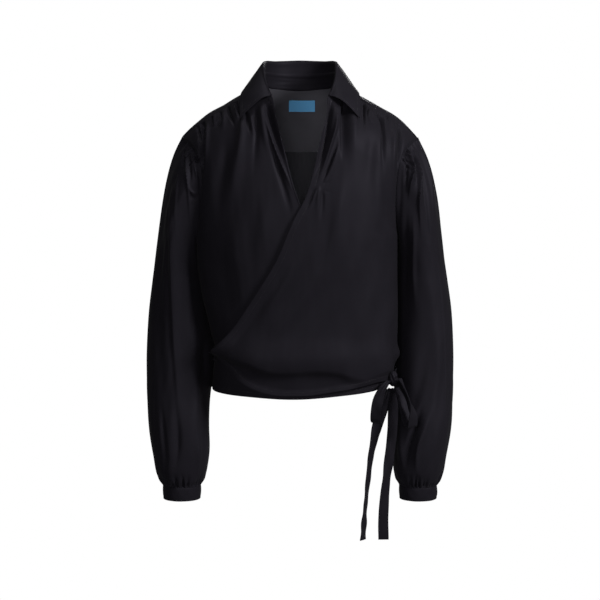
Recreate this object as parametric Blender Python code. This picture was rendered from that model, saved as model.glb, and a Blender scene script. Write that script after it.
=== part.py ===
"""Long-sleeved wrap blouse, filled out as if worn, with a waist tie and bow.

Metres, +Z up, the front faces -Y and the wearer's left is +X.  The origin lies between
the two side-neck points, where the shoulders of the wearer hold the blouse up.

Every panel is a wall of cloth laid on one smooth form.  A panel is a grid of plane
points (angle round the body, height), a form that turns them into space, and a height
of folds above that form.  The inside of the wall is the same grid moved inward.
"""

import math
from collections import namedtuple

import bpy
import bmesh
import numpy as np

# ---------------------------------------------------------------- cloth and seams
CLOTH = 0.0015
DOUBLE_CLOTH = 0.0018
LABEL_CLOTH = 0.0010
SEAM_GAP = 0.0004
LAYER_LIFT = 0.0036

# ---------------------------------------------------------------- the form
RING_POWER = 2.35
SHOULDER_ROUNDING = 0.10
SMALL_STEP = 1e-4
SHARP_ANGLE = math.radians(50.0)
RELAX_ROUNDS = 12

# Shoulder line seen from the front: half width and how far it lies below the neck points.
# The first row mirrors the third, so that the line is level in the middle.
ShoulderRow = namedtuple("ShoulderRow", "x drop")
SHOULDER = [
    ShoulderRow(-0.030, -0.0165),
    ShoulderRow(0.000, -0.0220),
    ShoulderRow(0.030, -0.0165),
    ShoulderRow(0.064, 0.0020),
    ShoulderRow(0.100, 0.0210),
    ShoulderRow(0.140, 0.0443),
    ShoulderRow(0.165, 0.0590),
    ShoulderRow(0.190, 0.0790),
    ShoulderRow(0.205, 0.0955),
]

# Rings of the body: depth below the neck points, half widths and front and back depth.
TorsoRow = namedtuple("TorsoRow", "drop right left front back")
TORSO = [
    TorsoRow(-0.03, 0.2150, 0.2150, 0.094, 0.098),
    TorsoRow(0.00, 0.2150, 0.2150, 0.096, 0.100),
    TorsoRow(0.05, 0.2130, 0.2130, 0.101, 0.106),
    TorsoRow(0.10, 0.2090, 0.2090, 0.109, 0.110),
    TorsoRow(0.15, 0.1900, 0.1900, 0.117, 0.112),
    TorsoRow(0.20, 0.1780, 0.1780, 0.123, 0.111),
    TorsoRow(0.268, 0.1715, 0.1715, 0.124, 0.107),
    TorsoRow(0.32, 0.1700, 0.1705, 0.120, 0.103),
    TorsoRow(0.38, 0.1650, 0.1708, 0.115, 0.100),
    TorsoRow(0.43, 0.1560, 0.1700, 0.114, 0.102),
    TorsoRow(0.465, 0.1490, 0.1685, 0.114, 0.104),
    TorsoRow(0.50, 0.1520, 0.1640, 0.106, 0.101),
    TorsoRow(0.54, 0.1550, 0.1620, 0.101, 0.099),
]

# ---------------------------------------------------------------- armhole and yoke
ARMHOLE_TOP = -0.0955
ARMHOLE_BOTTOM = -0.268
ARMHOLE_STEPS = 32
FRONT_CORNER_STEP = 1
BACK_CORNER_STEP = 4

ArmholeRow = namedtuple("ArmholeRow", "drop x")
ARMHOLE = [
    ArmholeRow(0.0955, 0.2050),
    ArmholeRow(0.1045, 0.1906),
    ArmholeRow(0.1200, 0.1780),
    ArmholeRow(0.1360, 0.1708),
    ArmholeRow(0.1600, 0.1662),
    ArmholeRow(0.1900, 0.1640),
    ArmholeRow(0.2200, 0.1638),
    ArmholeRow(0.2450, 0.1662),
    ArmholeRow(0.2680, 0.1715),
]

YOKE_ROWS = 7
YOKE_BACK_COLUMNS = 20
YOKE_FRONT_DROP = 0.0085
YOKE_LEVEL_FROM = 0.25
YOKE_LEVEL_TO = 0.80

# ---------------------------------------------------------------- neckline
NECK_HALF_WIDTH = 0.0665
NECK_BACK_TURN = 0.541
NECK_FRONT_TURN = 0.80
NECK_YOKE_ANGLE = math.radians(-18.7)
NECK_SHOULDER_ANGLE = math.radians(40.0)
NECK_END_ANGLE = math.radians(-46.0)
NECK_ROWS = 3

# ---------------------------------------------------------------- fronts
EdgeRow = namedtuple("EdgeRow", "x z")
UNDER_EDGE = [
    EdgeRow(0.0425, -0.0480),
    EdgeRow(0.0344, -0.0872),
    EdgeRow(0.0258, -0.1257),
    EdgeRow(0.0150, -0.1690),
    EdgeRow(0.0000, -0.2090),
    EdgeRow(-0.0400, -0.2850),
    EdgeRow(-0.0900, -0.3750),
    EdgeRow(-0.1300, -0.4450),
    EdgeRow(-0.1400, -0.4850),
]
UNDER_HEM = [
    EdgeRow(-0.1400, -0.4850),
    EdgeRow(-0.1330, -0.5150),
    EdgeRow(-0.1100, -0.5290),
    EdgeRow(-0.0745, -0.5345),
    EdgeRow(0.0017, -0.5400),
    EdgeRow(0.0938, -0.5370),
]
OVER_EDGE = [
    EdgeRow(0.0455, -0.0529),
    EdgeRow(0.0363, -0.0938),
    EdgeRow(0.0297, -0.1213),
    EdgeRow(0.0211, -0.1596),
    EdgeRow(0.0110, -0.1930),
    EdgeRow(-0.0087, -0.2316),
    EdgeRow(-0.0389, -0.3023),
    EdgeRow(-0.0806, -0.3725),
    EdgeRow(-0.1066, -0.4158),
    EdgeRow(-0.1300, -0.4520),
    EdgeRow(-0.1425, -0.4640),
]
OVER_HEM = [
    EdgeRow(-0.1425, -0.4640),
    EdgeRow(-0.1217, -0.4847),
    EdgeRow(-0.0971, -0.5112),
    EdgeRow(-0.0602, -0.5276),
    EdgeRow(-0.0017, -0.5320),
    EdgeRow(0.0744, -0.5230),
    EdgeRow(0.1331, -0.5120),
]
SIDE_SEAM_BREAK = -0.435
HEM_AT_RIGHT_SEAM = -0.533
HEM_AT_LEFT_SEAM = -0.513
HEM_AT_BACK = -0.536
SIDE_ROWS_ABOVE_WAIST = 6
SIDE_ROWS_AT_WAIST = 6
EDGE_LENGTH_AT_WAIST = 0.09
OVER_COLUMNS = 28
UNDER_COLUMNS = 21
# Folds start this many rows and columns in from a sewn edge.
FADE_ROWS = 1.5
FADE_COLUMNS = 2.0

# The over front lies this far out only below the V, and not at its own side seam.
LIFT_START = -0.09
LIFT_BLEND = 0.09
LIFT_COLUMNS = 5.0
LIFT_COLUMNS_ABOVE_WAIST = 13.0
WAIST_BLEND = 0.10
# Troughs of the over front end here, so that they stay clear of the layer below.
DEEP_TROUGHS_ABOVE = -0.17
DEEP_TROUGH = 0.0024
SHALLOW_TROUGH = 0.0002
ROLL_SIDE_BLEND = 0.25
# The under front is plain where the other covers it.
COVERED_BLEND = 0.10
COVERED_BELOW = -0.19
CINCH_SIDE = -1.0

# A fold follows a path of (across, z) points; its peak is where along the path it is
# highest, and a negative height is a trough.
Fold = namedtuple("Fold", "path width end_width height peak")
OVER_FOLDS = [
    Fold(((0.104, -0.040), (0.106, -0.085)), 0.0045, 0.008, 0.0054, 0.30),
    Fold(((0.114, -0.046), (0.117, -0.075)), 0.0040, 0.006, -0.0034, 0.30),
    Fold(((0.123, -0.048), (0.126, -0.100)), 0.0040, 0.008, 0.0048, 0.30),
    Fold(((0.133, -0.053), (0.135, -0.080)), 0.0040, 0.006, -0.0034, 0.30),
    Fold(((0.144, -0.058), (0.146, -0.120)), 0.0040, 0.009, 0.0054, 0.30),
    Fold(((0.155, -0.064), (0.156, -0.135)), 0.0040, 0.009, -0.0041, 0.30),
    Fold(((0.164, -0.070), (0.163, -0.150)), 0.0045, 0.008, 0.0075, 0.35),
    Fold(((0.180, -0.083), (0.176, -0.110)), 0.0045, 0.006, 0.0048, 0.40),
    Fold(((0.078, -0.060), (0.066, -0.150)), 0.0080, 0.012, -0.0056, 0.40),
    Fold(((0.07, -0.08), (0.048, -0.14), (0.03, -0.175), (0.012, -0.212)), 0.006, 0.005, 0.0061, 0.45),
    Fold(((0.026, -0.185), (0.034, -0.240), (0.030, -0.300)), 0.006, 0.012, 0.0041, 0.25),
    Fold(((0.12, -0.13), (0.095, -0.23), (0.05, -0.34), (-0.01, -0.42)), 0.014, 0.018, 0.0064, 0.55),
    Fold(((0.145, -0.17), (0.12, -0.29), (0.075, -0.40), (0.02, -0.45)), 0.014, 0.018, 0.0072, 0.60),
    Fold(((0.085, -0.19), (0.045, -0.29), (-0.02, -0.39), (-0.08, -0.44)), 0.012, 0.015, 0.0056, 0.55),
    Fold(((0.020, -0.240), (-0.030, -0.335), (-0.080, -0.415)), 0.008, 0.010, 0.0048, 0.60),
    Fold(((0.155, -0.280), (0.140, -0.390), (0.105, -0.470)), 0.010, 0.012, 0.0072, 0.70),
    Fold(((0.150, -0.490), (0.125, -0.497), (0.105, -0.508)), 0.006, 0.007, -0.0048, 0.20),
]
OVER_ROLL = Fold(
    (
        (-0.134, -0.4650),
        (-0.112, -0.4730),
        (-0.092, -0.4830),
        (-0.060, -0.4925),
        (0.000, -0.4930),
        (0.050, -0.4915),
        (0.082, -0.4960),
        (0.125, -0.4900),
    ),
    0.012,
    0.011,
    0.0120,
    0.30,
)
UNDER_FOLDS = [
    Fold(((-0.096, -0.038), (-0.096, -0.100)), 0.0045, 0.008, 0.0051, 0.30),
    Fold(((-0.106, -0.042), (-0.108, -0.075)), 0.0040, 0.006, -0.0032, 0.30),
    Fold(((-0.115, -0.046), (-0.118, -0.090)), 0.0040, 0.007, 0.0045, 0.30),
    Fold(((-0.125, -0.050), (-0.127, -0.070)), 0.0040, 0.005, -0.0032, 0.35),
    Fold(((-0.135, -0.056), (-0.138, -0.110)), 0.0040, 0.008, 0.0051, 0.30),
    Fold(((-0.145, -0.060), (-0.148, -0.120)), 0.0040, 0.008, -0.0038, 0.30),
    Fold(((-0.155, -0.066), (-0.160, -0.160)), 0.0045, 0.008, 0.0070, 0.35),
    Fold(((-0.176, -0.080), (-0.176, -0.112)), 0.0045, 0.006, 0.0045, 0.40),
    Fold(((-0.088, -0.070), (-0.094, -0.120), (-0.100, -0.175)), 0.0060, 0.009, 0.0057, 0.35),
    Fold(((-0.066, -0.06), (-0.046, -0.11), (-0.026, -0.165), (-0.008, -0.2)), 0.006, 0.005, 0.0051, 0.45),
    Fold(((-0.120, -0.130), (-0.128, -0.230), (-0.110, -0.340)), 0.012, 0.014, 0.0053, 0.50),
    Fold(((-0.145, -0.200), (-0.150, -0.300), (-0.135, -0.400)), 0.010, 0.012, 0.0060, 0.55),
    Fold(((-0.080, -0.150), (-0.082, -0.220), (-0.070, -0.290)), 0.010, 0.012, 0.0045, 0.45),
]

# ---------------------------------------------------------------- back
# Waves round the half turn of the back; the gathers at the yoke's seam are the finer ones.
BACK_GATHERS = 22
BACK_GATHER_HEIGHT = 0.0022
BACK_GATHER_CENTRE = 0.0255
BACK_GATHER_REACH = 0.0425
BACK_WAIST_FOLDS = 13
BACK_WAIST_FOLD_HEIGHT = 0.0040
BACK_WAIST_FOLD_CENTRE = 0.035
BACK_WAIST_FOLD_REACH = 0.060
BACK_HEM_FLARE = 0.0035
BACK_HEM_BLEND = 0.020

# ---------------------------------------------------------------- sleeves
SLEEVE_COLUMNS = 32
SLEEVE_CAP_ROWS = 6
SLEEVE_CAP_END = -0.34
SLEEVE_POWER = 2.1
CAP_GATHERS = 9
CAP_GATHER_HEIGHT = 0.0030
CAP_GATHER_START = 0.010
CAP_GATHER_REACH = 0.060
CAP_GATHERS_PAST_SIDE = 0.2
CAP_GATHER_BLEND = 0.8
CUFF_GATHERS = 18
CUFF_GATHER_HEIGHT = 0.0034
CUFF_GATHER_START = 0.010
CUFF_GATHER_REACH = 0.064
CUFF_UNEVENNESS = 0.5
CUFF_UNEVEN_WAVES = 5.0
CUFF_CROWDING = 0.8
CUFF_CROWD_WAVES = 3.0
DRAPE_BLEND = 0.025

# Rings of a sleeve: depth below the neck points, outer side, inner sides of the right and
# the left sleeve, place and half of the depth from front to back.
SleeveRow = namedtuple("SleeveRow", "drop outer inner_right inner_left middle_y depth")
SLEEVE = [
    SleeveRow(0.3400, 0.2590, 0.1705, 0.1710, 0.0200, 0.0650),
    SleeveRow(0.4000, 0.2660, 0.1638, 0.1718, 0.0210, 0.0645),
    SleeveRow(0.4600, 0.2700, 0.1533, 0.1712, 0.0180, 0.0640),
    SleeveRow(0.5000, 0.2710, 0.1553, 0.1700, 0.0140, 0.0640),
    SleeveRow(0.5400, 0.2705, 0.1580, 0.1680, 0.0070, 0.0620),
    SleeveRow(0.6000, 0.2655, 0.1600, 0.1655, -0.0070, 0.0580),
    SleeveRow(0.6500, 0.2570, 0.1600, 0.1630, -0.0150, 0.0510),
    SleeveRow(0.6850, 0.2505, 0.1655, 0.1650, -0.0185, 0.0430),
    SleeveRow(0.6970, 0.2460, 0.1690, 0.1690, -0.0195, 0.0380),
    SleeveRow(0.7020, 0.2415, 0.1737, 0.1737, -0.0200, 0.0335),
]
# Heights of the sleeve's rows below the cap; the last few have twice the columns.
SLEEVE_HEIGHTS = (-0.375, -0.415, -0.460, -0.505, -0.550, -0.595)
SLEEVE_FINE_HEIGHTS = (-0.635, -0.662, -0.681, -0.694, -0.702)
SLEEVE_END = -0.702

# Sleeve folds: turn is the part of a whole turn from the outer side by the front.
SLEEVE_FOLDS = [
    Fold(((0.085, -0.150), (0.095, -0.260), (0.105, -0.380)), 0.010, 0.014, -0.0081, 0.35),
    Fold(((0.140, -0.150), (0.150, -0.260), (0.165, -0.400)), 0.008, 0.012, 0.0061, 0.40),
    Fold(((0.200, -0.170), (0.205, -0.250), (0.215, -0.330)), 0.007, 0.010, 0.0034, 0.40),
    Fold(((0.270, -0.200), (0.280, -0.310), (0.270, -0.460)), 0.012, 0.016, -0.0068, 0.40),
    Fold(((0.330, -0.260), (0.340, -0.380), (0.330, -0.520)), 0.010, 0.014, 0.0047, 0.50),
    Fold(((0.040, -0.400), (0.055, -0.500), (0.050, -0.620)), 0.012, 0.014, 0.0047, 0.50),
    Fold(((0.160, -0.440), (0.165, -0.540), (0.150, -0.640)), 0.012, 0.012, -0.0047, 0.60),
    Fold(((0.720, -0.190), (0.730, -0.320), (0.740, -0.450)), 0.011, 0.015, -0.0068, 0.40),
    Fold(((0.820, -0.170), (0.810, -0.300), (0.800, -0.420)), 0.010, 0.013, 0.0054, 0.40),
    Fold(((0.900, -0.220), (0.890, -0.350), (0.900, -0.560)), 0.011, 0.015, -0.0054, 0.50),
    Fold(((0.640, -0.300), (0.650, -0.420), (0.660, -0.580)), 0.011, 0.015, 0.0047, 0.50),
]
SLEEVE_GIRTH = 0.36
SLEEVE_AXIS_SHIFT = 0.03
# Two unit normals whose sum is shorter than this turn away from each other at the seam.
FOLDED_SEAM = 1.2
FIRST_CAP_SHARE = 0.08
SEAM_CLEARANCE = 0.00048

# Direction in which the sleeve leaves the top, the sides and the bottom of the armhole.
LeaveRow = namedtuple("LeaveRow", "outward forward down")
LEAVE_TOP = LeaveRow(0.50, 0.0, 0.87)
LEAVE_SIDES = LeaveRow(0.80, 0.25, 0.50)
LEAVE_BOTTOM = LeaveRow(0.22, 0.0, 0.99)
LEAVE_STRENGTH = 0.8
ARRIVE_SPREAD = 0.13
# Just above the cuff the cloth keeps more of its width than its slope would give it.
CUFF_NORMAL_FLATNESS = 0.3

# ---------------------------------------------------------------- cuffs
CUFF_TOP = -0.7024
CUFF_BOTTOM = -0.7265
CUFF_RADIUS = 0.0335
CUFF_BOTTOM_RADIUS = 0.0328
CUFF_CENTRE = (0.20755, -0.0200)

# ---------------------------------------------------------------- collar
COLLAR_STATIONS = 20
COLLAR_FOLD_RADIUS = 0.0030
STAND_SHARE = 0.55
STAND_FOOT = 0.0006

# Stations of half the collar, from the middle back to the front end: place along it, angle
# round the neckline, height and inward lean of the fold line, and slice, turn and height
# of the outer edge on the shoulders.  The first row mirrors the third.
CollarRow = namedtuple("CollarRow", "along angle rise lean edge_x edge_turn edge_lift")
COLLAR = [
    CollarRow(-0.30, 128.0, 0.0480, 0.0010, -0.0600, 0.480, 0.0085),
    CollarRow(0.00, 90.0, 0.0520, 0.0000, 0.0000, 0.600, 0.0100),
    CollarRow(0.30, 52.0, 0.0480, 0.0010, 0.0600, 0.480, 0.0085),
    CollarRow(0.55, 15.0, 0.0350, 0.0035, 0.0945, 0.140, 0.0050),
    CollarRow(0.72, -8.0, 0.0265, 0.0045, 0.0975, -0.100, 0.0050),
    CollarRow(0.86, -27.0, 0.0165, 0.0035, 0.0995, -0.330, 0.0065),
    CollarRow(1.00, -44.5, 0.0080, 0.0005, 0.1005, -0.600, 0.0070),
]
COLLAR_CENTRE_Y = 0.010
COLLAR_BELLY = 0.0024
COLLAR_BELLY_RISE = 0.4
# Shares of the leaf's length from the fold to the outer edge.
COLLAR_LEAF_SHARES = (0.2, 0.42, 0.64, 0.84, 1.0)
# Heights of the three rows round the fold, in fold radii from the fold line.
FOLD_START = -0.6
FOLD_TOP = 0.2
FOLD_END = -0.9

# ---------------------------------------------------------------- label
LABEL_WIDTH = 0.047
LABEL_CENTRE_X = 0.0035
LABEL_TOP = -0.0280
LABEL_BOTTOM = -0.0480
LABEL_CLEARANCE = 0.0012
LABEL_COLUMNS = 6
LABEL_ROWS = 2

# ---------------------------------------------------------------- tie and bow
TIE_WIDTH = 0.018
TIE_LIFT = 0.0024
TIE_COLUMNS = 30
TieRow = namedtuple("TieRow", "angle z")
TIE_ROUTE = [
    TieRow(-74.5, -0.4745),
    TieRow(-90.0, -0.4760),
    TieRow(-130.0, -0.4830),
    TieRow(-180.0, -0.4920),
    TieRow(-230.0, -0.5000),
    TieRow(-270.0, -0.5040),
    TieRow(-286.0, -0.5060),
]
TIE_CINCH = 0.0016
CINCH_REACH = 0.0162
# Past the left side seam the tie rises over the front's edge.
TIE_RISE_ANGLE = -270.0
TIE_RISE_BLEND = 0.20

KNOT_CENTRE = (0.1615, -0.0590, -0.5125)
KNOT_HALF_SIZE = (0.0075, 0.0080, 0.0115)
KNOT_SEGMENTS = 14
KNOT_RINGS = 8
KNOT_PINCH = 0.18

# Bow strips: points of the middle line, how far the strip is twisted about it in degrees
# and its part of the tie's width, which is gathered at the knot.
StripRow = namedtuple("StripRow", "x y z twist width")
BOW_LOOP_FRONT = [
    StripRow(0.1525, -0.0730, -0.5120, 0.0, 0.40),
    StripRow(0.1420, -0.0850, -0.5220, 0.0, 0.75),
    StripRow(0.1330, -0.0930, -0.5420, 0.0, 1.00),
    StripRow(0.1290, -0.0940, -0.5640, 0.0, 1.00),
    StripRow(0.1295, -0.0900, -0.5790, 0.0, 1.00),
    StripRow(0.1325, -0.0830, -0.5820, 0.0, 1.00),
    StripRow(0.1360, -0.0780, -0.5730, 0.0, 1.00),
    StripRow(0.1415, -0.0745, -0.5550, 0.0, 0.95),
    StripRow(0.1480, -0.0700, -0.5380, 0.0, 0.70),
    StripRow(0.1535, -0.0660, -0.5275, 0.0, 0.40),
]
BOW_LOOP_SIDE = [
    StripRow(0.1705, -0.0700, -0.5100, 0.0, 0.40),
    StripRow(0.1770, -0.0800, -0.5200, 0.0, 0.75),
    StripRow(0.1840, -0.0930, -0.5420, 0.0, 1.00),
    StripRow(0.1895, -0.0990, -0.5660, 0.0, 1.00),
    StripRow(0.1910, -0.0970, -0.5840, 0.0, 1.00),
    StripRow(0.1880, -0.0900, -0.5890, 0.0, 1.00),
    StripRow(0.1840, -0.0850, -0.5790, 0.0, 1.00),
    StripRow(0.1790, -0.0800, -0.5600, 0.0, 0.95),
    StripRow(0.1720, -0.0700, -0.5380, 0.0, 0.70),
    StripRow(0.1665, -0.0620, -0.5270, 0.0, 0.40),
]
TIE_TAIL_FRONT = [
    StripRow(0.1570, -0.0590, -0.5270, 0.0, 0.45),
    StripRow(0.1455, -0.0610, -0.5550, 0.0, 0.95),
    StripRow(0.1320, -0.0630, -0.5960, 15.0, 1.00),
    StripRow(0.1277, -0.0640, -0.6160, 45.0, 1.00),
    StripRow(0.1215, -0.0640, -0.6510, 60.0, 1.00),
    StripRow(0.1178, -0.0640, -0.6860, 68.0, 1.00),
    StripRow(0.1143, -0.0640, -0.7210, 80.0, 1.00),
    StripRow(0.1113, -0.0640, -0.7565, 70.0, 1.00),
    StripRow(0.1092, -0.0640, -0.7915, 60.0, 1.00),
]
TIE_TAIL_SIDE = [
    StripRow(0.1625, -0.0540, -0.5270, 0.0, 0.45),
    StripRow(0.1612, -0.0545, -0.5550, 0.0, 0.90),
    StripRow(0.1595, -0.0560, -0.6020, 10.0, 0.95),
    StripRow(0.1542, -0.0570, -0.6520, 15.0, 0.95),
    StripRow(0.1497, -0.0570, -0.6875, 35.0, 0.95),
    StripRow(0.1464, -0.0570, -0.7230, 22.0, 0.97),
    StripRow(0.1448, -0.0570, -0.7580, 10.0, 1.00),
    StripRow(0.1453, -0.0570, -0.7925, 0.0, 1.00),
]
FRONT_STRIP_AXIS = (0.94, -0.34, 0.0)
SIDE_STRIP_AXIS = (0.94, 0.34, 0.0)
TAIL_AXIS = (1.0, 0.0, 0.0)
LOOP_STEPS = 20
TAIL_STEPS = 20
STRIP_COLUMNS = 2

# ---------------------------------------------------------------- colours (linear)
BLACK_SATIN = (0.010, 0.009, 0.013)
LABEL_BLUE = (0.040, 0.135, 0.340)
SATIN_ROUGHNESS = 0.42
LABEL_ROUGHNESS = 0.60


# ================================================================ small helpers
def column(rows, name):
    """One named column of a table as an array."""
    return np.array([getattr(row, name) for row in rows], dtype=float)


def curve(knots, values, at):
    """Smooth cubic through values at rising knots, held level past both ends."""
    slopes = np.gradient(values, knots)
    at = np.clip(np.asarray(at, dtype=float), knots[0], knots[-1])
    low = np.clip(np.searchsorted(knots, at) - 1, 0, len(knots) - 2)
    span = knots[low + 1] - knots[low]
    t = (at - knots[low]) / span
    rise = (2 * t**3 - 3 * t**2 + 1) * values[low] + (3 * t**2 - 2 * t**3) * values[low + 1]
    bend = (t**3 - 2 * t**2 + t) * slopes[low] + (t**3 - t**2) * slopes[low + 1]
    return rise + bend * span


def table(rows, key, value, at):
    """Look a value up in a table by its key column."""
    return curve(column(rows, key), column(rows, value), at)


def smooth(t):
    """Smooth step from 0 to 1."""
    t = np.clip(t, 0.0, 1.0)
    return t * t * (3.0 - 2.0 * t)


def bump(distance, width):
    """Soft bell of height 1."""
    return np.exp(-((distance / width) ** 2))


def unit(vectors):
    """Vectors of length 1 (a zero vector stays zero)."""
    length = np.linalg.norm(vectors, axis=-1, keepdims=True)
    return vectors / np.maximum(length, 1e-9)


def run_length(points):
    """Length along a line of points, from 0 at its start."""
    steps = np.linalg.norm(np.diff(points, axis=0), axis=1)
    return np.concatenate([[0.0], np.cumsum(steps)])


def along_line(points, share, rounded=True):
    """Points at shares 0..1 of a line's length, on a smooth curve or on its chords."""
    points = np.asarray(points, dtype=float)
    length = run_length(points)
    at = np.asarray(share) * length[-1]
    if rounded:
        return np.stack([curve(length, points[:, k], at) for k in range(points.shape[1])], axis=-1)
    return np.stack([np.interp(at, length, points[:, k]) for k in range(points.shape[1])], axis=-1)


def on_chords(points, count):
    """Split the chords of a line evenly, so that every one of its points is kept."""
    index = np.linspace(0.0, len(points) - 1.0, count)
    own = np.arange(len(points))
    return np.stack([np.interp(index, own, points[:, k]) for k in range(points.shape[1])], axis=-1)


def fold_height(folds, across, z):
    """Sum of all folds at plane points (across, z)."""
    across, z = np.broadcast_arrays(across, z)
    total = np.zeros(across.shape)
    for fold in folds:
        path = np.asarray(fold.path, dtype=float)
        length = run_length(path)
        nearest = np.full(across.shape, np.inf)
        share = np.zeros(across.shape)
        for start, end, before in zip(path[:-1], path[1:], length[:-1]):
            run = end - start
            t = ((across - start[0]) * run[0] + (z - start[1]) * run[1]) / (run @ run)
            t = np.clip(t, 0.0, 1.0)
            away = np.hypot(across - start[0] - t * run[0], z - start[1] - t * run[1])
            closer = away < nearest
            nearest = np.where(closer, away, nearest)
            share = np.where(closer, (before + t * np.linalg.norm(run)) / length[-1], share)
        width = fold.width + (fold.end_width - fold.width) * share
        swell = np.where(share < fold.peak, share / fold.peak, (1.0 - share) / (1.0 - fold.peak))
        total += fold.height * smooth(swell) * bump(nearest, width)
    return total


# ================================================================ the body's form
def ridge(x):
    """Height of the shoulder line at a distance from the middle."""
    return -table(SHOULDER, "x", "drop", np.abs(x))


def half_width(x_sign, z):
    """Half width of the body's ring on one side."""
    right = table(TORSO, "drop", "right", -z)
    left = table(TORSO, "drop", "left", -z)
    return np.where(x_sign < 0, right, left)


def ring_depth(y_sign, z):
    """Depth of the body's ring at the front (y_sign < 0) or back."""
    front = table(TORSO, "drop", "front", -z)
    back = table(TORSO, "drop", "back", -z)
    return np.where(y_sign < 0, front, back)


def torso(phi, z):
    """Point of the form at an angle from the middle front and a height."""
    sine, cosine = np.sin(phi), np.cos(phi)
    square = (np.abs(sine) ** RING_POWER + np.abs(cosine) ** RING_POWER) ** (-1.0 / RING_POWER)
    x = half_width(sine, z) * square * sine
    below = np.clip((ridge(x) - z) / SHOULDER_ROUNDING, 0.0, 1.0)
    rounding = np.sqrt(1.0 - (1.0 - below) ** 2)
    y = -ring_depth(-cosine, z) * square * cosine * rounding
    return np.stack(np.broadcast_arrays(x, y, z), axis=-1)


def torso_angle(x, z):
    """Angle at which the front of the ring at this height reaches x."""
    ratio = np.clip(np.abs(x) / half_width(x, z), 0.0, 1.0 - 1e-9) ** RING_POWER
    return np.sign(x) * np.arctan((ratio / (1.0 - ratio)) ** (1.0 / RING_POWER))


def over_shoulder(x, turn):
    """Point of the form on the slice at x, a turn from the ridge (front < 0 < back)."""
    quarter = np.clip(np.abs(turn), 0.0, 1.0) * math.pi / 2.0
    below = np.maximum(np.abs(turn) - 1.0, 0.0) * SHOULDER_ROUNDING * math.pi / 2.0
    z = ridge(x) - SHOULDER_ROUNDING * (1.0 - np.cos(quarter)) - below
    ratio = np.clip(np.abs(x) / half_width(x, z), 0.0, 1.0) ** RING_POWER
    reach = (1.0 - ratio) ** (1.0 / RING_POWER)
    y = np.sign(turn) * ring_depth(turn, z) * reach * np.sin(quarter)
    return np.stack(np.broadcast_arrays(x, y, z), axis=-1)


def shoulder_turn(x, z):
    """Turn from the ridge, as over_shoulder takes it, of the height z on the slice at x."""
    below = np.maximum(ridge(x) - z, 0.0)
    curved = np.arccos(1.0 - np.clip(below / SHOULDER_ROUNDING, 0.0, 1.0)) / (math.pi / 2.0)
    straight = np.maximum(below - SHOULDER_ROUNDING, 0.0) / (SHOULDER_ROUNDING * math.pi / 2.0)
    return curved + straight


def normals(form, first, second):
    """Outward normals of a form, from small steps in its two parameters."""
    along_first = form(first + SMALL_STEP, second) - form(first - SMALL_STEP, second)
    along_second = form(first, second + SMALL_STEP) - form(first, second - SMALL_STEP)
    return unit(np.cross(along_first, along_second))


# ================================================================ shared seams
def armhole_height(step):
    """Height of the armhole seam at a step round it from the shoulder point."""
    share = (1.0 - np.cos(2.0 * math.pi * np.asarray(step) / ARMHOLE_STEPS)) / 2.0
    return ARMHOLE_TOP + (ARMHOLE_BOTTOM - ARMHOLE_TOP) * share


def armhole_angle(side, step):
    """Angle round the body of the armhole seam at its steps (front half, then back)."""
    z = armhole_height(step)
    front = torso_angle(side * table(ARMHOLE, "drop", "x", -z), z)
    return np.where(np.asarray(step) <= ARMHOLE_STEPS // 2, front, side * math.pi - front)


def armhole_loop(side):
    """Points and body normals of the whole armhole seam."""
    steps = np.arange(ARMHOLE_STEPS)
    z = armhole_height(steps)
    x = side * table(ARMHOLE, "drop", "x", -z)
    y_sign = np.where(steps <= ARMHOLE_STEPS // 2, -1.0, 1.0)
    turn = y_sign * shoulder_turn(x, z)
    phi = armhole_angle(side, steps)
    points = torso(phi, z)
    upper = (steps < BACK_CORNER_STEP) | (steps > ARMHOLE_STEPS - BACK_CORNER_STEP)
    on_top = normals(over_shoulder, x, turn)
    around = normals(torso, phi, z)
    return points, np.where(upper[:, None], on_top, around)


def armhole_frame(side):
    """Points of the armhole seam and the direction in which its two walls meet."""
    seam, body_normal = armhole_loop(side)
    turn = np.arange(ARMHOLE_STEPS) / ARMHOLE_STEPS
    rows = np.stack([sleeve_cap(side, turn, share, seam) for share in (0.0, FIRST_CAP_SHARE)])
    middle = seam.mean(axis=0) + np.array([side * SLEEVE_AXIS_SHIFT, 0.0, 0.0])
    sleeve_normal = grid_normals(rows, np.stack([middle, middle]))[0]
    shared = body_normal + sleeve_normal
    meets = np.linalg.norm(shared, axis=-1, keepdims=True) > FOLDED_SEAM
    return seam, np.where(meets, unit(shared), body_normal), np.where(meets, unit(shared), sleeve_normal)


def neckline(angle):
    """Slice and turn of the neckline at an angle (0 at the side, 90 degrees at the back)."""
    x = NECK_HALF_WIDTH * np.cos(angle)
    reach = np.where(np.asarray(angle) > 0, NECK_BACK_TURN, NECK_FRONT_TURN)
    return x, reach * np.sin(angle)


def yoke_front_seam(side):
    """Slices and heights of the yoke's front seam, from the neck to the armhole."""
    neck_x, neck_turn = neckline(NECK_YOKE_ANGLE)
    corner_z = armhole_height(FRONT_CORNER_STEP)
    corner_x = table(ARMHOLE, "drop", "x", -corner_z)
    neck_drop = ridge(neck_x) - over_shoulder(neck_x, neck_turn)[2]
    corner_drop = ridge(corner_x) - corner_z
    share = np.linspace(0.0, 1.0, YOKE_ROWS + 1)
    x = neck_x + (corner_x - neck_x) * share
    knots = [0.0, YOKE_LEVEL_FROM, YOKE_LEVEL_TO, 1.0]
    drop = np.interp(share, knots, [neck_drop, YOKE_FRONT_DROP, YOKE_FRONT_DROP, corner_drop])
    return side * x, ridge(x) - drop


def yoke_back_seam():
    """Slices of the straight back seam of the yoke, from the wearer's right to left."""
    z = armhole_height(BACK_CORNER_STEP)
    corner = torso_angle(table(ARMHOLE, "drop", "x", -z), z)
    phi = np.linspace(math.pi + corner, math.pi - corner, YOKE_BACK_COLUMNS + 1)
    return phi, np.full(phi.shape, z)


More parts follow.
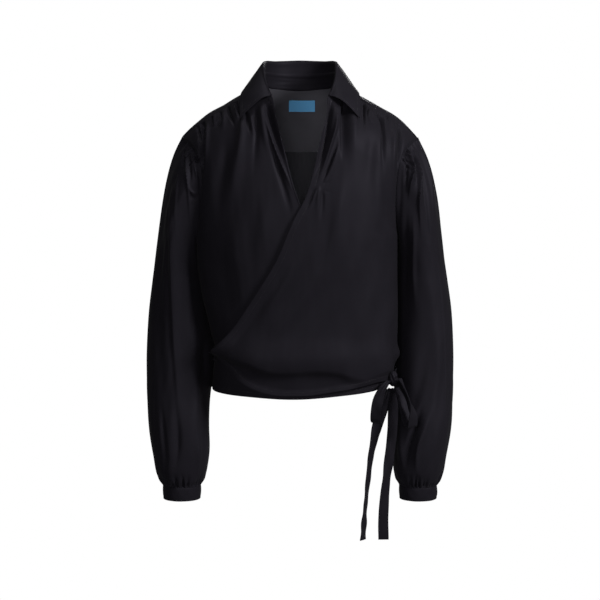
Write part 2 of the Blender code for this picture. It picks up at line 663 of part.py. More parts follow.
# ================================================================ walls of cloth
def bridge(upper, lower, closed):
    """Triangles between two rows of vertex numbers, with as many or twice the vertices."""
    cells = len(upper) if closed else len(upper) - 1
    finer = len(lower) > len(upper)
    triangles = []
    for k in range(cells):
        a, b = upper[k], upper[(k + 1) % len(upper)]
        if finer:
            c, d, e = (lower[(2 * k + j) % len(lower)] for j in range(3))
            triangles += [(a, c, d), (a, d, b), (b, d, e)]
        else:
            c, d = lower[k], lower[(k + 1) % len(lower)]
            triangles += [(a, c, d), (a, d, b)]
    return triangles


def wall(name, outer_rows, inner_rows, material, closed=False):
    """One closed wall of cloth between an outer and an inner set of rows."""
    counts = [len(row) for row in outer_rows]
    starts = np.concatenate([[0], np.cumsum(counts)])
    outer = [list(range(start, start + count)) for start, count in zip(starts, counts)]
    inner = [[index + int(starts[-1]) for index in row] for row in outer]
    triangles = []
    for k in range(len(counts) - 1):
        triangles += bridge(outer[k], outer[k + 1], closed)
        triangles += [face[::-1] for face in bridge(inner[k], inner[k + 1], closed)]
    triangles += bridge(inner[0], outer[0], closed)
    triangles += bridge(outer[-1], inner[-1], closed)
    if not closed:
        triangles += bridge([row[0] for row in outer], [row[0] for row in inner], False)
        triangles += bridge([row[-1] for row in inner], [row[-1] for row in outer], False)
    points = np.concatenate(list(outer_rows) + list(inner_rows))
    mesh = bpy.data.meshes.new(name)
    mesh.from_pydata(points.tolist(), [], [tuple(int(v) for v in face) for face in triangles])
    return finish(name, mesh, material)


def finish(name, mesh, material):
    """Turn the faces outward, shade the mesh smooth and put it in the scene."""
    solid = bmesh.new()
    solid.from_mesh(mesh)
    bmesh.ops.recalc_face_normals(solid, faces=solid.faces)
    solid.to_mesh(mesh)
    solid.free()
    mesh.shade_smooth()
    mesh.set_sharp_from_angle(angle=SHARP_ANGLE)
    mesh.materials.append(material)
    placed = bpy.data.objects.new(name, mesh)
    bpy.context.scene.collection.objects.link(placed)
    return placed


def pull_back(rows, edges):
    """Draw the named edges of a grid back by half a seam gap."""
    rows = rows.copy()
    half = SEAM_GAP / 2.0
    if "top" in edges:
        rows[0] += half * unit(rows[1] - rows[0])
    if "bottom" in edges:
        rows[-1] += half * unit(rows[-2] - rows[-1])
    if "start" in edges:
        rows[:, 0] += half * unit(rows[:, 1] - rows[:, 0])
    if "end" in edges:
        rows[:, -1] += half * unit(rows[:, -2] - rows[:, -1])
    return rows


def panel(name, points, outward, height, edges, material, thickness=CLOTH):
    """Wall of cloth from form points, their normals and the folds' height."""
    raised = pull_back(points + height[..., None] * outward, edges)
    return wall(name, list(raised), list(raised - thickness * outward), material)


def coons(top, bottom, start, end):
    """Grid of plane points stretched between four edges."""
    across = np.linspace(0.0, 1.0, len(top))[None, :, None]
    down = np.linspace(0.0, 1.0, len(start))[:, None, None]
    ruled = (1 - down) * top[None] + down * bottom[None]
    sided = (1 - across) * start[:, None] + across * end[:, None]
    upper = (1 - across) * top[0] + across * top[-1]
    lower = (1 - across) * bottom[0] + across * bottom[-1]
    return relax(ruled + sided - (1 - down) * upper - down * lower)


def relax(grid):
    """Even out the spacing inside a grid, leaving its edges where they are."""
    for _ in range(RELAX_ROUNDS):
        neighbours = grid[:-2, 1:-1] + grid[2:, 1:-1] + grid[1:-1, :-2] + grid[1:-1, 2:]
        grid[1:-1, 1:-1] = neighbours / 4.0
    return grid


# ================================================================ fronts
def side_seam_heights(hem):
    """Heights of the rows down a side seam, closer together at the waist."""
    above = np.linspace(ARMHOLE_BOTTOM, SIDE_SEAM_BREAK, SIDE_ROWS_ABOVE_WAIST + 1)[1:]
    below = np.linspace(SIDE_SEAM_BREAK, hem, SIDE_ROWS_AT_WAIST + 1)[1:]
    return np.concatenate([above, below])


def outer_edge(side, first_step, hem, back=False):
    """Plane points of a panel's outer edge: down the armhole, then the side seam."""
    steps = np.arange(first_step, ARMHOLE_STEPS // 2 + 1)
    steps = ARMHOLE_STEPS - steps if back else steps
    rows_z = side_seam_heights(hem)
    phi = np.concatenate([armhole_angle(side, steps), np.full(rows_z.shape, side * math.pi / 2.0)])
    return np.stack([phi, np.concatenate([armhole_height(steps), rows_z])], axis=-1)


def to_plane(rows, side):
    """Front-view table points as (angle, height) points."""
    x = side * column(rows, "x")
    z = column(rows, "z")
    return np.stack([torso_angle(x, z), z], axis=-1)


def wrap_edge(side, rows, count):
    """Plane points down the free edge of a front: along the neckline, then the wrap."""
    angles = np.linspace(NECK_YOKE_ANGLE, NECK_END_ANGLE, NECK_ROWS + 1)
    neck_x, neck_turn = neckline(angles)
    neck = over_shoulder(side * neck_x, neck_turn)
    neck = np.stack([neck[:, 0], neck[:, 2]], axis=-1)
    path = np.concatenate([neck[-1:], np.stack([side * column(rows, "x"), column(rows, "z")], axis=-1)])
    total = run_length(path)[-1]
    upper_count = count - NECK_ROWS - SIDE_ROWS_AT_WAIST
    split = 1.0 - EDGE_LENGTH_AT_WAIST / total
    share = np.concatenate([
        np.linspace(0.0, split, upper_count + 1)[1:],
        np.linspace(split, 1.0, SIDE_ROWS_AT_WAIST + 1)[1:],
    ])
    edge = np.concatenate([neck, along_line(path, share)])
    return np.stack([torso_angle(edge[:, 0], edge[:, 1]), edge[:, 1]], axis=-1)


def front_grid(side, columns, edge_rows, hem_rows, hem_at_seam):
    """Plane grid of one front, from its free edge to its armhole and side seam."""
    seam_x, seam_z = yoke_front_seam(side)
    seam = np.stack([torso_angle(seam_x, seam_z), seam_z], axis=-1)
    end = outer_edge(side, FRONT_CORNER_STEP, hem_at_seam)
    start = wrap_edge(side, edge_rows, len(end) - 1)
    hem = np.concatenate([to_plane(hem_rows, side), end[-1:]])
    bottom = along_line(hem, np.linspace(0.0, 1.0, columns + 1))
    return coons(on_chords(seam, columns + 1), bottom, start, end)


def tie_height(phi):
    """Height of the waist tie's middle at an angle round the body."""
    route = np.radians(column(TIE_ROUTE, "angle"))[::-1]
    turned = np.where(phi > route[-1], phi - 2.0 * math.pi, phi)
    return curve(route, column(TIE_ROUTE, "z")[::-1], turned)


def cinch(phi, z):
    """1 under the waist tie, fading to 0 above and below it."""
    return bump(z - tie_height(phi), CINCH_REACH)


def seam_fade(count_down, count_across, open_start):
    """Fold strength over a grid: none at the sewn edges, whole inside."""
    down = np.arange(count_down)[:, None]
    across = np.arange(count_across)[None, :]
    fade = smooth(down / FADE_ROWS) * smooth((count_across - 1 - across) / FADE_COLUMNS)
    return fade if open_start else fade * smooth(across / FADE_COLUMNS)


def front_over(material):
    """Wearer's left front, which lies over the other and ends at the right waist."""
    plane = front_grid(1, OVER_COLUMNS, OVER_EDGE, OVER_HEM, HEM_AT_LEFT_SEAM)
    phi, z = plane[..., 0], plane[..., 1]
    points = torso(phi, z)
    outward = normals(torso, phi, z)
    fade = seam_fade(*phi.shape, True)
    from_side = np.arange(OVER_COLUMNS, -1, -1)[None, :]
    above_waist = smooth((z - SIDE_SEAM_BREAK) / WAIST_BLEND)
    lift_columns = LIFT_COLUMNS + (LIFT_COLUMNS_ABOVE_WAIST - LIFT_COLUMNS) * above_waist
    lift = LAYER_LIFT * smooth((LIFT_START - z) / LIFT_BLEND) * smooth(from_side / lift_columns)
    side_fade = smooth((math.pi / 2.0 - phi) / ROLL_SIDE_BLEND)
    height = fold_height(OVER_FOLDS, points[..., 0], z) * fade
    height = np.maximum(height, -np.where(z > DEEP_TROUGHS_ABOVE, DEEP_TROUGH, SHALLOW_TROUGH))
    roll = fold_height([OVER_ROLL], points[..., 0], z) * side_fade
    height = lift + height + roll
    points[0] = on_chords(points[0, :: OVER_COLUMNS // YOKE_ROWS], OVER_COLUMNS + 1)
    outward[: ARMHOLE_STEPS // 2, -1] = armhole_frame(1)[1][FRONT_CORNER_STEP : ARMHOLE_STEPS // 2 + 1]
    return panel("front_over", points, outward, height, ("top", "end"), material)


def front_under(material):
    """Wearer's right front, which goes on under the other to the left side."""
    plane = front_grid(-1, UNDER_COLUMNS, UNDER_EDGE, UNDER_HEM, HEM_AT_RIGHT_SEAM)
    phi, z = plane[..., 0], plane[..., 1]
    points = torso(phi, z)
    outward = normals(torso, phi, z)
    x = points[..., 0]
    over = to_plane(OVER_EDGE, 1)
    edge_angle = np.interp(-z, -over[:, 1], over[:, 0])
    covered = smooth((phi - edge_angle + COVERED_BLEND) / COVERED_BLEND) * (z < COVERED_BELOW)
    height = fold_height(UNDER_FOLDS, x, z) * seam_fade(*phi.shape, True)
    height = height * (1.0 - covered) * (1.0 - cinch(phi, z) * (phi < CINCH_SIDE))
    points[0] = on_chords(points[0, :: UNDER_COLUMNS // YOKE_ROWS], UNDER_COLUMNS + 1)
    outward[: ARMHOLE_STEPS // 2, -1] = armhole_frame(-1)[1][FRONT_CORNER_STEP : ARMHOLE_STEPS // 2 + 1]
    return panel("front_under", points, outward, height, ("top", "end"), material)


# ================================================================ back and yoke
def back_panel(material):
    """Back, from the yoke's seam and both armholes to the hem."""
    top_phi, top_z = yoke_back_seam()
    top = np.stack([top_phi, top_z], axis=-1)[::-1]
    start = outer_edge(1, BACK_CORNER_STEP, HEM_AT_LEFT_SEAM, back=True)
    end = outer_edge(-1, BACK_CORNER_STEP, HEM_AT_RIGHT_SEAM, back=True)
    end[:, 0] += 2.0 * math.pi
    share = np.linspace(0.0, 1.0, YOKE_BACK_COLUMNS + 1)
    level = HEM_AT_LEFT_SEAM + (HEM_AT_RIGHT_SEAM - HEM_AT_LEFT_SEAM) * share
    middle = HEM_AT_BACK - (HEM_AT_LEFT_SEAM + HEM_AT_RIGHT_SEAM) / 2.0
    bottom_z = level + middle * np.sin(math.pi * share)
    bottom = np.stack([start[-1, 0] + (end[-1, 0] - start[-1, 0]) * share, bottom_z], axis=-1)
    plane = coons(top, bottom, start, end)
    phi, z = plane[..., 0], plane[..., 1]
    points = torso(phi, z)
    outward = normals(torso, phi, z)
    round_back = phi - math.pi
    below_seam = top_z[0] - z
    gather = bump(below_seam - BACK_GATHER_CENTRE, BACK_GATHER_REACH)
    gather = gather * np.cos(round_back * BACK_GATHERS) * BACK_GATHER_HEIGHT
    from_tie = z - tie_height(phi - 2.0 * math.pi)
    waist_wave = np.cos(round_back * BACK_WAIST_FOLDS)
    waist = bump(from_tie - BACK_WAIST_FOLD_CENTRE, BACK_WAIST_FOLD_REACH) * waist_wave
    hem_fold = smooth(-from_tie / BACK_HEM_BLEND) * (1.0 + waist_wave) / 2.0
    height = gather + waist * BACK_WAIST_FOLD_HEIGHT + hem_fold * BACK_HEM_FLARE
    tied = cinch(phi - 2.0 * math.pi, z)
    height = height * (1.0 - tied) - TIE_CINCH * tied
    height = height * seam_fade(*phi.shape, False)
    steps = ARMHOLE_STEPS - np.arange(BACK_CORNER_STEP, ARMHOLE_STEPS // 2 + 1)
    outward[: len(steps), 0] = armhole_frame(1)[1][steps]
    outward[: len(steps), -1] = armhole_frame(-1)[1][steps]
    return panel("back_panel", points, outward, height, ("top", "start", "end"), material)


def back_yoke(material):
    """Yoke: across the back and over both shoulders to the front seams."""
    corner_steps = np.arange(-FRONT_CORNER_STEP, BACK_CORNER_STEP + 1)
    top_z = armhole_height(np.abs(corner_steps))
    top_x = table(ARMHOLE, "drop", "x", -top_z)
    top_turn = np.sign(corner_steps) * shoulder_turn(top_x, top_z)
    back_phi, back_z = yoke_back_seam()
    back_x = torso(back_phi, back_z)[:, 0]
    back_turn = shoulder_turn(back_x, back_z)
    outer_x = np.concatenate([-top_x, back_x[1:-1], top_x[::-1]])
    outer_turn = np.concatenate([top_turn, back_turn[1:-1], top_turn[::-1]])
    shoulder = np.linspace(NECK_YOKE_ANGLE, NECK_SHOULDER_ANGLE, len(corner_steps))
    half_back = np.linspace(NECK_SHOULDER_ANGLE, math.pi - NECK_SHOULDER_ANGLE, YOKE_BACK_COLUMNS + 1)
    angle = np.concatenate([shoulder, half_back[1:-1], math.pi - shoulder[::-1]])
    folded = np.where(angle > math.pi / 2.0, math.pi - angle, angle)
    neck_x, neck_turn = neckline(folded)
    neck_x = np.where(angle > math.pi / 2.0, neck_x, -neck_x)
    share = np.linspace(0.0, 1.0, YOKE_ROWS + 1)[:, None]
    x = neck_x + (outer_x - neck_x) * share
    turn = neck_turn + (outer_turn - neck_turn) * share
    for place, side in ((0, -1), (-1, 1)):
        seam_x, seam_z = yoke_front_seam(side)
        x[:, place] = seam_x
        turn[:, place] = -shoulder_turn(seam_x, seam_z)
    points = over_shoulder(x, turn)
    outward = normals(over_shoulder, x, turn)
    steps = -corner_steps % ARMHOLE_STEPS
    outward[-1, : len(steps)] = armhole_frame(-1)[1][steps]
    outward[-1, -len(steps) :] = armhole_frame(1)[1][steps[::-1]]
    height = np.zeros(x.shape)
    return panel("back_yoke", points, outward, height, ("bottom", "start", "end"), material)


# ================================================================ sleeves
def sleeve_ring(side, turn, z):
    """Point of the sleeve's tube at a part of a turn from its outer side."""
    outer = table(SLEEVE, "drop", "outer", -z)
    inner = table(SLEEVE, "drop", "inner_left" if side > 0 else "inner_right", -z)
    angle = 2.0 * math.pi * turn
    sine, cosine = np.sin(angle), np.cos(angle)
    square = (np.abs(sine) ** SLEEVE_POWER + np.abs(cosine) ** SLEEVE_POWER) ** (-1.0 / SLEEVE_POWER)
    x = (outer + inner) / 2.0 + (outer - inner) / 2.0 * cosine * square
    y = table(SLEEVE, "drop", "middle_y", -z) - table(SLEEVE, "drop", "depth", -z) * sine * square
    return np.stack(np.broadcast_arrays(side * x, y, z), axis=-1)


def sleeve_cap(side, turn, share, armhole):
    """Point between the armhole seam (share 0) and the first whole ring (share 1)."""
    angle = 2.0 * math.pi * turn
    sine, cosine = np.sin(angle), np.cos(angle)
    top, under = np.maximum(cosine, 0.0) ** 2, np.maximum(-cosine, 0.0) ** 2
    ring = sleeve_ring(side, turn, np.full(turn.shape, SLEEVE_CAP_END))
    reach = np.linalg.norm(ring - armhole, axis=-1, keepdims=True)
    outward = LEAVE_TOP.outward * top + LEAVE_SIDES.outward * sine**2 + LEAVE_BOTTOM.outward * under
    down = LEAVE_TOP.down * top + LEAVE_SIDES.down * sine**2 + LEAVE_BOTTOM.down * under
    away = np.stack([side * outward, -LEAVE_SIDES.forward * sine, -down], axis=-1)
    leave = LEAVE_STRENGTH * reach * unit(away)
    spread = side * ARRIVE_SPREAD * cosine
    arrive = reach * unit(np.stack([spread, np.zeros(turn.shape), np.full(turn.shape, -1.0)], axis=-1))
    t = share
    place = (2 * t**3 - 3 * t**2 + 1) * armhole + (3 * t**2 - 2 * t**3) * ring
    return place + (t**3 - 2 * t**2 + t) * leave + (t**3 - t**2) * arrive


def grid_normals(rows, middle):
    """Normals of closed rings, turned away from a middle line."""
    around = np.roll(rows, -1, axis=1) - np.roll(rows, 1, axis=1)
    down = np.gradient(rows, axis=0)
    outward = unit(np.cross(around, down))
    away = rows - middle[:, None, :]
    return outward * np.sign(np.sum(outward * away, axis=-1, keepdims=True))


def sleeve_height(side, turn, z, from_armhole):
    """Folds of a sleeve: gathers at its head and cuff and long drapes between."""
    turned = turn % 1.0
    rolled_out = [
        fold._replace(path=tuple((part * SLEEVE_GIRTH, height) for part, height in fold.path))
        for fold in SLEEVE_FOLDS
    ]
    drapes = fold_height(rolled_out, turned * SLEEVE_GIRTH, z)
    wave = 2.0 * math.pi * turn
    above_cuff = z - SLEEVE_END
    uneven = 1.0 - CUFF_UNEVENNESS * (1.0 + np.sin(CUFF_UNEVEN_WAVES * wave + side)) / 2.0
    crowding = CUFF_CROWDING * np.sin(CUFF_CROWD_WAVES * wave)
    ripple = (1.0 + np.cos(CUFF_GATHERS * wave + crowding)) / 2.0
    cuff_rows = smooth(above_cuff / CUFF_GATHER_START) * (1.0 - smooth(above_cuff / CUFF_GATHER_REACH))
    near_top = smooth((np.cos(wave) + CAP_GATHERS_PAST_SIDE) / CAP_GATHER_BLEND)
    crown = near_top * (1.0 + np.cos(CAP_GATHERS * wave)) / 2.0
    crown_rows = smooth(from_armhole / CAP_GATHER_START) * (1.0 - smooth(from_armhole / CAP_GATHER_REACH))
    drapes = drapes * smooth(from_armhole / DRAPE_BLEND) * smooth(above_cuff / DRAPE_BLEND)
    return drapes + CUFF_GATHER_HEIGHT * uneven * ripple * cuff_rows + CAP_GATHER_HEIGHT * crown * crown_rows


def sleeve(name, side, material):
    """One long sleeve, from the armhole seam to the cuff seam."""
    turn = np.arange(SLEEVE_COLUMNS) / SLEEVE_COLUMNS
    fine_turn = np.arange(2 * SLEEVE_COLUMNS) / (2 * SLEEVE_COLUMNS)
    seam, _, seam_normal = armhole_frame(side)
    shares = np.linspace(0.0, 1.0, SLEEVE_CAP_ROWS + 1)
    rows = [sleeve_cap(side, turn, share, seam) for share in shares]
    rows += [sleeve_ring(side, turn, np.full(turn.shape, z)) for z in SLEEVE_HEIGHTS]
    coarse = np.stack(rows)
    middle = coarse.mean(axis=1)
    middle[0, 0] = seam[:, 0].mean() + side * SLEEVE_AXIS_SHIFT
    outward = grid_normals(coarse, middle)
    outward[0] = seam_normal
    z = coarse[..., 2]
    from_armhole = np.linalg.norm(coarse - coarse[:1], axis=-1)
    height = sleeve_height(side, turn[None], z, from_armhole)
    outer = coarse + height[..., None] * outward
    outer[0] += SEAM_CLEARANCE * unit(coarse[1] - coarse[0])
    inner = outer - CLOTH * outward
    levels = [np.full(fine_turn.shape, level) for level in SLEEVE_FINE_HEIGHTS]
    fine = np.stack([sleeve_ring(side, fine_turn, level) for level in levels])
    fine_normal = grid_normals(fine, fine.mean(axis=1)) * np.array([1.0, 1.0, CUFF_NORMAL_FLATNESS])
    fine_normal = unit(fine_normal)
    from_armhole = np.full(fine.shape[:2], -SLEEVE_END)
    fine_height = sleeve_height(side, fine_turn[None], fine[..., 2], from_armhole)
    fine_outer = fine + fine_height[..., None] * fine_normal
    fine_outer[-1] = fine[-1]
    fine_inner = fine_outer - CLOTH * fine_normal
    return wall(name, [*outer, *fine_outer], [*inner, *fine_inner], material, closed=True)


def cuff(name, side, material):
    """Plain closed band at the wrist."""
    angle = 2.0 * math.pi * np.arange(SLEEVE_COLUMNS) / SLEEVE_COLUMNS
    outward = np.stack([side * np.cos(angle), -np.sin(angle), np.zeros(angle.shape)], axis=-1)
    centre = np.array([side * CUFF_CENTRE[0], CUFF_CENTRE[1], 0.0])
    outer, inner = [], []
    for share in (0.0, 1.0):
        radius = CUFF_RADIUS + (CUFF_BOTTOM_RADIUS - CUFF_RADIUS) * share
        level = np.array([0.0, 0.0, CUFF_TOP + (CUFF_BOTTOM - CUFF_TOP) * share])
        outer.append(centre + level + radius * outward)
        inner.append(centre + level + (radius - DOUBLE_CLOTH) * outward)
    return wall(name, outer, inner, material, closed=True)


# ================================================================ collar
def collar_lines():
    """Foot, fold and outer edge of the collar at its stations, right end to left end."""
    along = np.linspace(-1.0, 1.0, COLLAR_STATIONS + 1)
    side = np.sign(along)
    value = {name: table(COLLAR, "along", name, np.abs(along)) for name in CollarRow._fields}
    neck_x, neck_turn = neckline(np.radians(value["angle"]))
    foot = over_shoulder(side * neck_x, neck_turn)
    foot_normal = normals(over_shoulder, side * neck_x, neck_turn)
    foot = foot + STAND_FOOT * foot_normal
    away = unit((foot - np.array([0.0, COLLAR_CENTRE_Y, 0.0])) * np.array([1.0, 1.0, 0.0]))
    fold = foot + value["rise"][:, None] * np.array([0.0, 0.0, 1.0]) - value["lean"][:, None] * away
    edge = over_shoulder(side * value["edge_x"], value["edge_turn"])
    edge_normal = normals(over_shoulder, side * value["edge_x"], value["edge_turn"])
    edge = edge + value["edge_lift"][:, None] * edge_normal
    return foot, fold, edge, away


def strip_normals(rows, towards):
    """Normals of an open grid, turned to agree with given directions."""
    across = np.gradient(rows, axis=1)
    down = np.gradient(rows, axis=0)
    outward = unit(np.cross(across, down))
    return outward * np.sign(np.sum(outward * towards, axis=-1, keepdims=True))


def collar_stand(material):
    """Upright band round the neck that carries the fall."""
    foot, fold, _, away = collar_lines()
    rows = np.stack([foot + (fold - foot) * STAND_SHARE * share for share in (0.0, 0.5, 1.0)])
    outward = strip_normals(rows, away)
    rows = pull_back(rows, ("bottom",))
    return wall("collar_stand", list(rows), list(rows - DOUBLE_CLOTH * outward), material)


def collar_fall(material):
    """Part of the collar that rises from the stand, folds over and ends in the points."""
    foot, fold, edge, away = collar_lines()
    up = np.array([0.0, 0.0, 1.0])
    stand_top = foot + (fold - foot) * STAND_SHARE
    radius = COLLAR_FOLD_RADIUS
    turn_start = fold + FOLD_START * radius * up
    bend_out = fold + radius * away + FOLD_TOP * radius * up
    bend_down = fold + 2.0 * radius * away + FOLD_END * radius * up
    leaf = edge - bend_down
    to_front = np.linspace(-1.0, 1.0, len(foot))[:, None] ** 2
    belly = COLLAR_BELLY * to_front * unit(away + COLLAR_BELLY_RISE * up)
    rows = [stand_top, (stand_top + turn_start) / 2.0, turn_start, bend_out, bend_down]
    rows += [bend_down + leaf * share + belly * math.sin(math.pi * share) for share in COLLAR_LEAF_SHARES]
    rows = np.stack(rows)
    outward = unit(np.cross(np.gradient(rows, axis=1), np.gradient(rows, axis=0)))
    outward = outward * -np.sign(np.sum(outward[2] * away, axis=-1, keepdims=True))
    rows = pull_back(rows, ("top",))
    return wall("collar_fall", list(rows), list(rows - CLOTH * outward), material)


# ================================================================ label
def neck_label(material):
    """Small blank label lying on the inside of the back yoke."""
    across = LABEL_CENTRE_X + LABEL_WIDTH * np.linspace(-0.5, 0.5, LABEL_COLUMNS + 1)
    x, z = np.meshgrid(across, np.linspace(LABEL_TOP, LABEL_BOTTOM, LABEL_ROWS + 1))
    turn = shoulder_turn(x, z)
    points = over_shoulder(x, turn)
    outward = normals(over_shoulder, x, turn)
    face = points - (CLOTH + LABEL_CLEARANCE) * outward
    return wall("neck_label", list(face), list(face - LABEL_CLOTH * outward), material)


# ================================================================ tie and bow
def tie_wrap(material):
    """Flat tie from the over front's corner round the back to the knot."""
    ends = math.radians(TIE_ROUTE[0].angle), math.radians(TIE_ROUTE[-1].angle)
    offset = TIE_WIDTH * np.linspace(0.5, -0.5, STRIP_COLUMNS + 1)
    phi, offset = np.meshgrid(np.linspace(*ends, TIE_COLUMNS + 1), offset)
    rows = tie_height(phi) + offset
    points = torso(phi, rows)
    outward = normals(torso, phi, rows)
    rise = LAYER_LIFT * smooth((math.radians(TIE_RISE_ANGLE) - phi) / TIE_RISE_BLEND)
    raised = points + (TIE_LIFT + rise)[..., None] * outward
    return wall("tie_wrap", list(raised), list(raised - CLOTH * outward), material)


def strip(name, rows, steps, axis, material):
    """Flat strip of tie along a route, laid across an axis and twisted about its line."""
    route = np.stack([column(rows, part) for part in "xyz"], axis=-1)
    share = np.linspace(0.0, 1.0, steps + 1)
    own_share = run_length(route) / run_length(route)[-1]
    line = along_line(route, share)
    twist = np.radians(np.interp(share, own_share, column(rows, "twist")))[:, None]
    width = np.interp(share, own_share, column(rows, "width"))[:, None] * TIE_WIDTH
    forward = unit(np.gradient(line, axis=0))
    flat = unit(np.asarray(axis) - (forward @ np.asarray(axis))[:, None] * forward)
    across = np.cos(twist) * flat + np.sin(twist) * np.cross(forward, flat)
    normal = unit(np.cross(forward, across))
    offsets = np.linspace(-0.5, 0.5, STRIP_COLUMNS + 1)
    grid = np.stack([line + offset * width * across for offset in offsets])
    half = CLOTH / 2.0 * normal[None]
    return wall(name, list(grid + half), list(grid - half), material)


def bow_knot(material):
    """Small wrapped knot of the bow."""
    solid = bmesh.new()
    bmesh.ops.create_uvsphere(solid, u_segments=KNOT_SEGMENTS, v_segments=KNOT_RINGS, radius=1.0)
    for vertex in solid.verts:
        narrowed = 1.0 - KNOT_PINCH * (1.0 - abs(vertex.co.z))
        vertex.co.x = KNOT_CENTRE[0] + KNOT_HALF_SIZE[0] * narrowed * vertex.co.x
        vertex.co.y = KNOT_CENTRE[1] + KNOT_HALF_SIZE[1] * narrowed * vertex.co.y
        vertex.co.z = KNOT_CENTRE[2] + KNOT_HALF_SIZE[2] * vertex.co.z
    bmesh.ops.triangulate(solid, faces=solid.faces)
    mesh = bpy.data.meshes.new("bow_knot")
    solid.to_mesh(mesh)
    solid.free()
    return finish("bow_knot", mesh, material)


# ================================================================ the blouse
def principled(name, colour, roughness):
    """Plain material of one colour and roughness."""
    material = bpy.data.materials.new(name)
    material.use_nodes = True
    shader = material.node_tree.nodes["Principled BSDF"]
    shader.inputs["Base Color"].default_value = (*colour, 1.0)
    shader.inputs["Roughness"].default_value = roughness
    shader.inputs["Metallic"].default_value = 0.0
    return material


def satin(node):
    """Black satin crepe of one node."""
    return principled(f"{node}_satin", BLACK_SATIN, SATIN_ROUGHNESS)


def main():
    """Build the whole blouse."""
    for old in list(bpy.data.objects):
        bpy.data.objects.remove(old)
    back_yoke(satin("back_yoke"))
    back_panel(satin("back_panel"))
    front_under(satin("front_under"))
    front_over(satin("front_over"))
    for name, side in (("right", -1), ("left", 1)):
        sleeve(f"sleeve_{name}", side, satin(f"sleeve_{name}"))
        cuff(f"cuff_{name}", side, satin(f"cuff_{name}"))
    collar_stand(satin("collar_stand"))
    collar_fall(satin("collar_fall"))
    neck_label(principled("label_blue", LABEL_BLUE, LABEL_ROUGHNESS))
    tie_wrap(satin("tie_wrap"))
    bow_knot(satin("bow_knot"))
    strip("bow_loop_front", BOW_LOOP_FRONT, LOOP_STEPS, FRONT_STRIP_AXIS, satin("bow_loop_front"))
    strip("bow_loop_side", BOW_LOOP_SIDE, LOOP_STEPS, SIDE_STRIP_AXIS, satin("bow_loop_side"))
    strip("tie_tail_front", TIE_TAIL_FRONT, TAIL_STEPS, TAIL_AXIS, satin("tie_tail_front"))
    strip("tie_tail_side", TIE_TAIL_SIDE, TAIL_STEPS, TAIL_AXIS, satin("tie_tail_side"))


main()
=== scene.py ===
"""Looks of a long-sleeved wrap blouse in black satin crepe, filled out as if worn.

Each piece of cloth is a fine shell laid on the form of its solid.  A piece starts as a flat
grid of threads, is laid on the form of the body, a sleeve or the collar, is raised by its folds
and gathers, and gets its thickness last.  Metres, +Z up; the front faces -Y and the wearer's
left is +X.
"""

from __future__ import annotations

import logging
import math
from dataclasses import dataclass
from enum import Enum
from typing import Callable, Iterable, NamedTuple, Sequence

import bpy
import numpy as np
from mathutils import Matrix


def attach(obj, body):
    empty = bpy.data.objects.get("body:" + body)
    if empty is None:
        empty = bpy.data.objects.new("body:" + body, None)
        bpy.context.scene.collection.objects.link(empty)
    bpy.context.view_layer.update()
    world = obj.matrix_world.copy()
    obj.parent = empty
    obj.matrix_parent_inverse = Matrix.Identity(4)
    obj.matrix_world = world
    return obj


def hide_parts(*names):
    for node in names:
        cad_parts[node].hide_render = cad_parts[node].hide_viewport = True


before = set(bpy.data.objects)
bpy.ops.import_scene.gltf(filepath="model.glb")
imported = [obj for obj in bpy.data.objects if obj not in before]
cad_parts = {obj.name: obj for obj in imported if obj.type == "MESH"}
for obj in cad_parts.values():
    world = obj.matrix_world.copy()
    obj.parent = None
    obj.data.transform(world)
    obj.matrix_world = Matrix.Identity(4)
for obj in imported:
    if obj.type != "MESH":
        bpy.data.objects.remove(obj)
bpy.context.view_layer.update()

Array = np.ndarray
Form = Callable[[Array, Array], Array]
Line = tuple[Array, Array]
Pair = tuple[float, float]
Triple = Colour = tuple[float, float, float]
Object, Material = bpy.types.Object, bpy.types.Material
Node, Tree, Socket = bpy.types.Node, bpy.types.NodeTree, bpy.types.NodeSocket
log = logging.getLogger("blouse")

SATIN_SLOT = "black_satin"
LABEL_SLOT = "label_blue"
UV_NAME = "cloth"
QUARTER = math.pi / 2.0
ROUND = 2.0 * math.pi
FORWARD, BACKWARD, UP = np.array([[0.0, -1.0, 0.0], [0.0, 1.0, 0.0], [0.0, 0.0, 1.0]])
LEVEL = np.array([1.0, 1.0, 0.0])
WHITE = (1.0, 1.0, 1.0, 1.0)


class Side(Enum):
    """Side of the wearer; the value is the sign of X."""

    RIGHT = -1
    LEFT = 1


class Edge(Enum):
    """Edge of a grid of cloth."""

    TOP = "top"
    BOTTOM = "bottom"
    START = "start"
    END = "end"


class Held(Enum):
    """How a sheet of cloth is held."""

    DRAPED = "draped"
    LAID = "laid"
    HUNG = "hung"
    GATHERED = "gathered"
    STRETCHED = "stretched"
    FOLDED = "folded"


# ---- rows of the tables
class ShoulderRow(NamedTuple):
    """Shoulder line seen from the front: slice and how far it lies below the neck points."""

    x: float
    drop: float


class TorsoRow(NamedTuple):
    """Ring of the body: how far down, half widths and depths."""

    drop: float
    right: float
    left: float
    front: float
    back: float


class ArmholeRow(NamedTuple):
    """Armhole seam seen from the front."""

    drop: float
    x: float


class EdgeRow(NamedTuple):
    """Point of a free edge or hem seen from the front."""

    x: float
    z: float


class SleeveRow(NamedTuple):
    """Ring of a sleeve: outer side, inner sides and middle and half of its depth."""

    drop: float
    outer: float
    inner_right: float
    inner_left: float
    middle_y: float
    depth: float


class CollarRow(NamedTuple):
    """Station of half the collar: foot, fold line and outer edge."""

    along: float
    angle: float
    rise: float
    lean: float
    edge_x: float
    edge_turn: float
    edge_lift: float


class TieRow(NamedTuple):
    """Point of the waist tie's route round the body."""

    angle: float
    z: float


class StripRow(NamedTuple):
    """Point of a strip's middle line, its twist in degrees and its share of the width."""

    x: float
    y: float
    z: float
    twist: float
    width: float


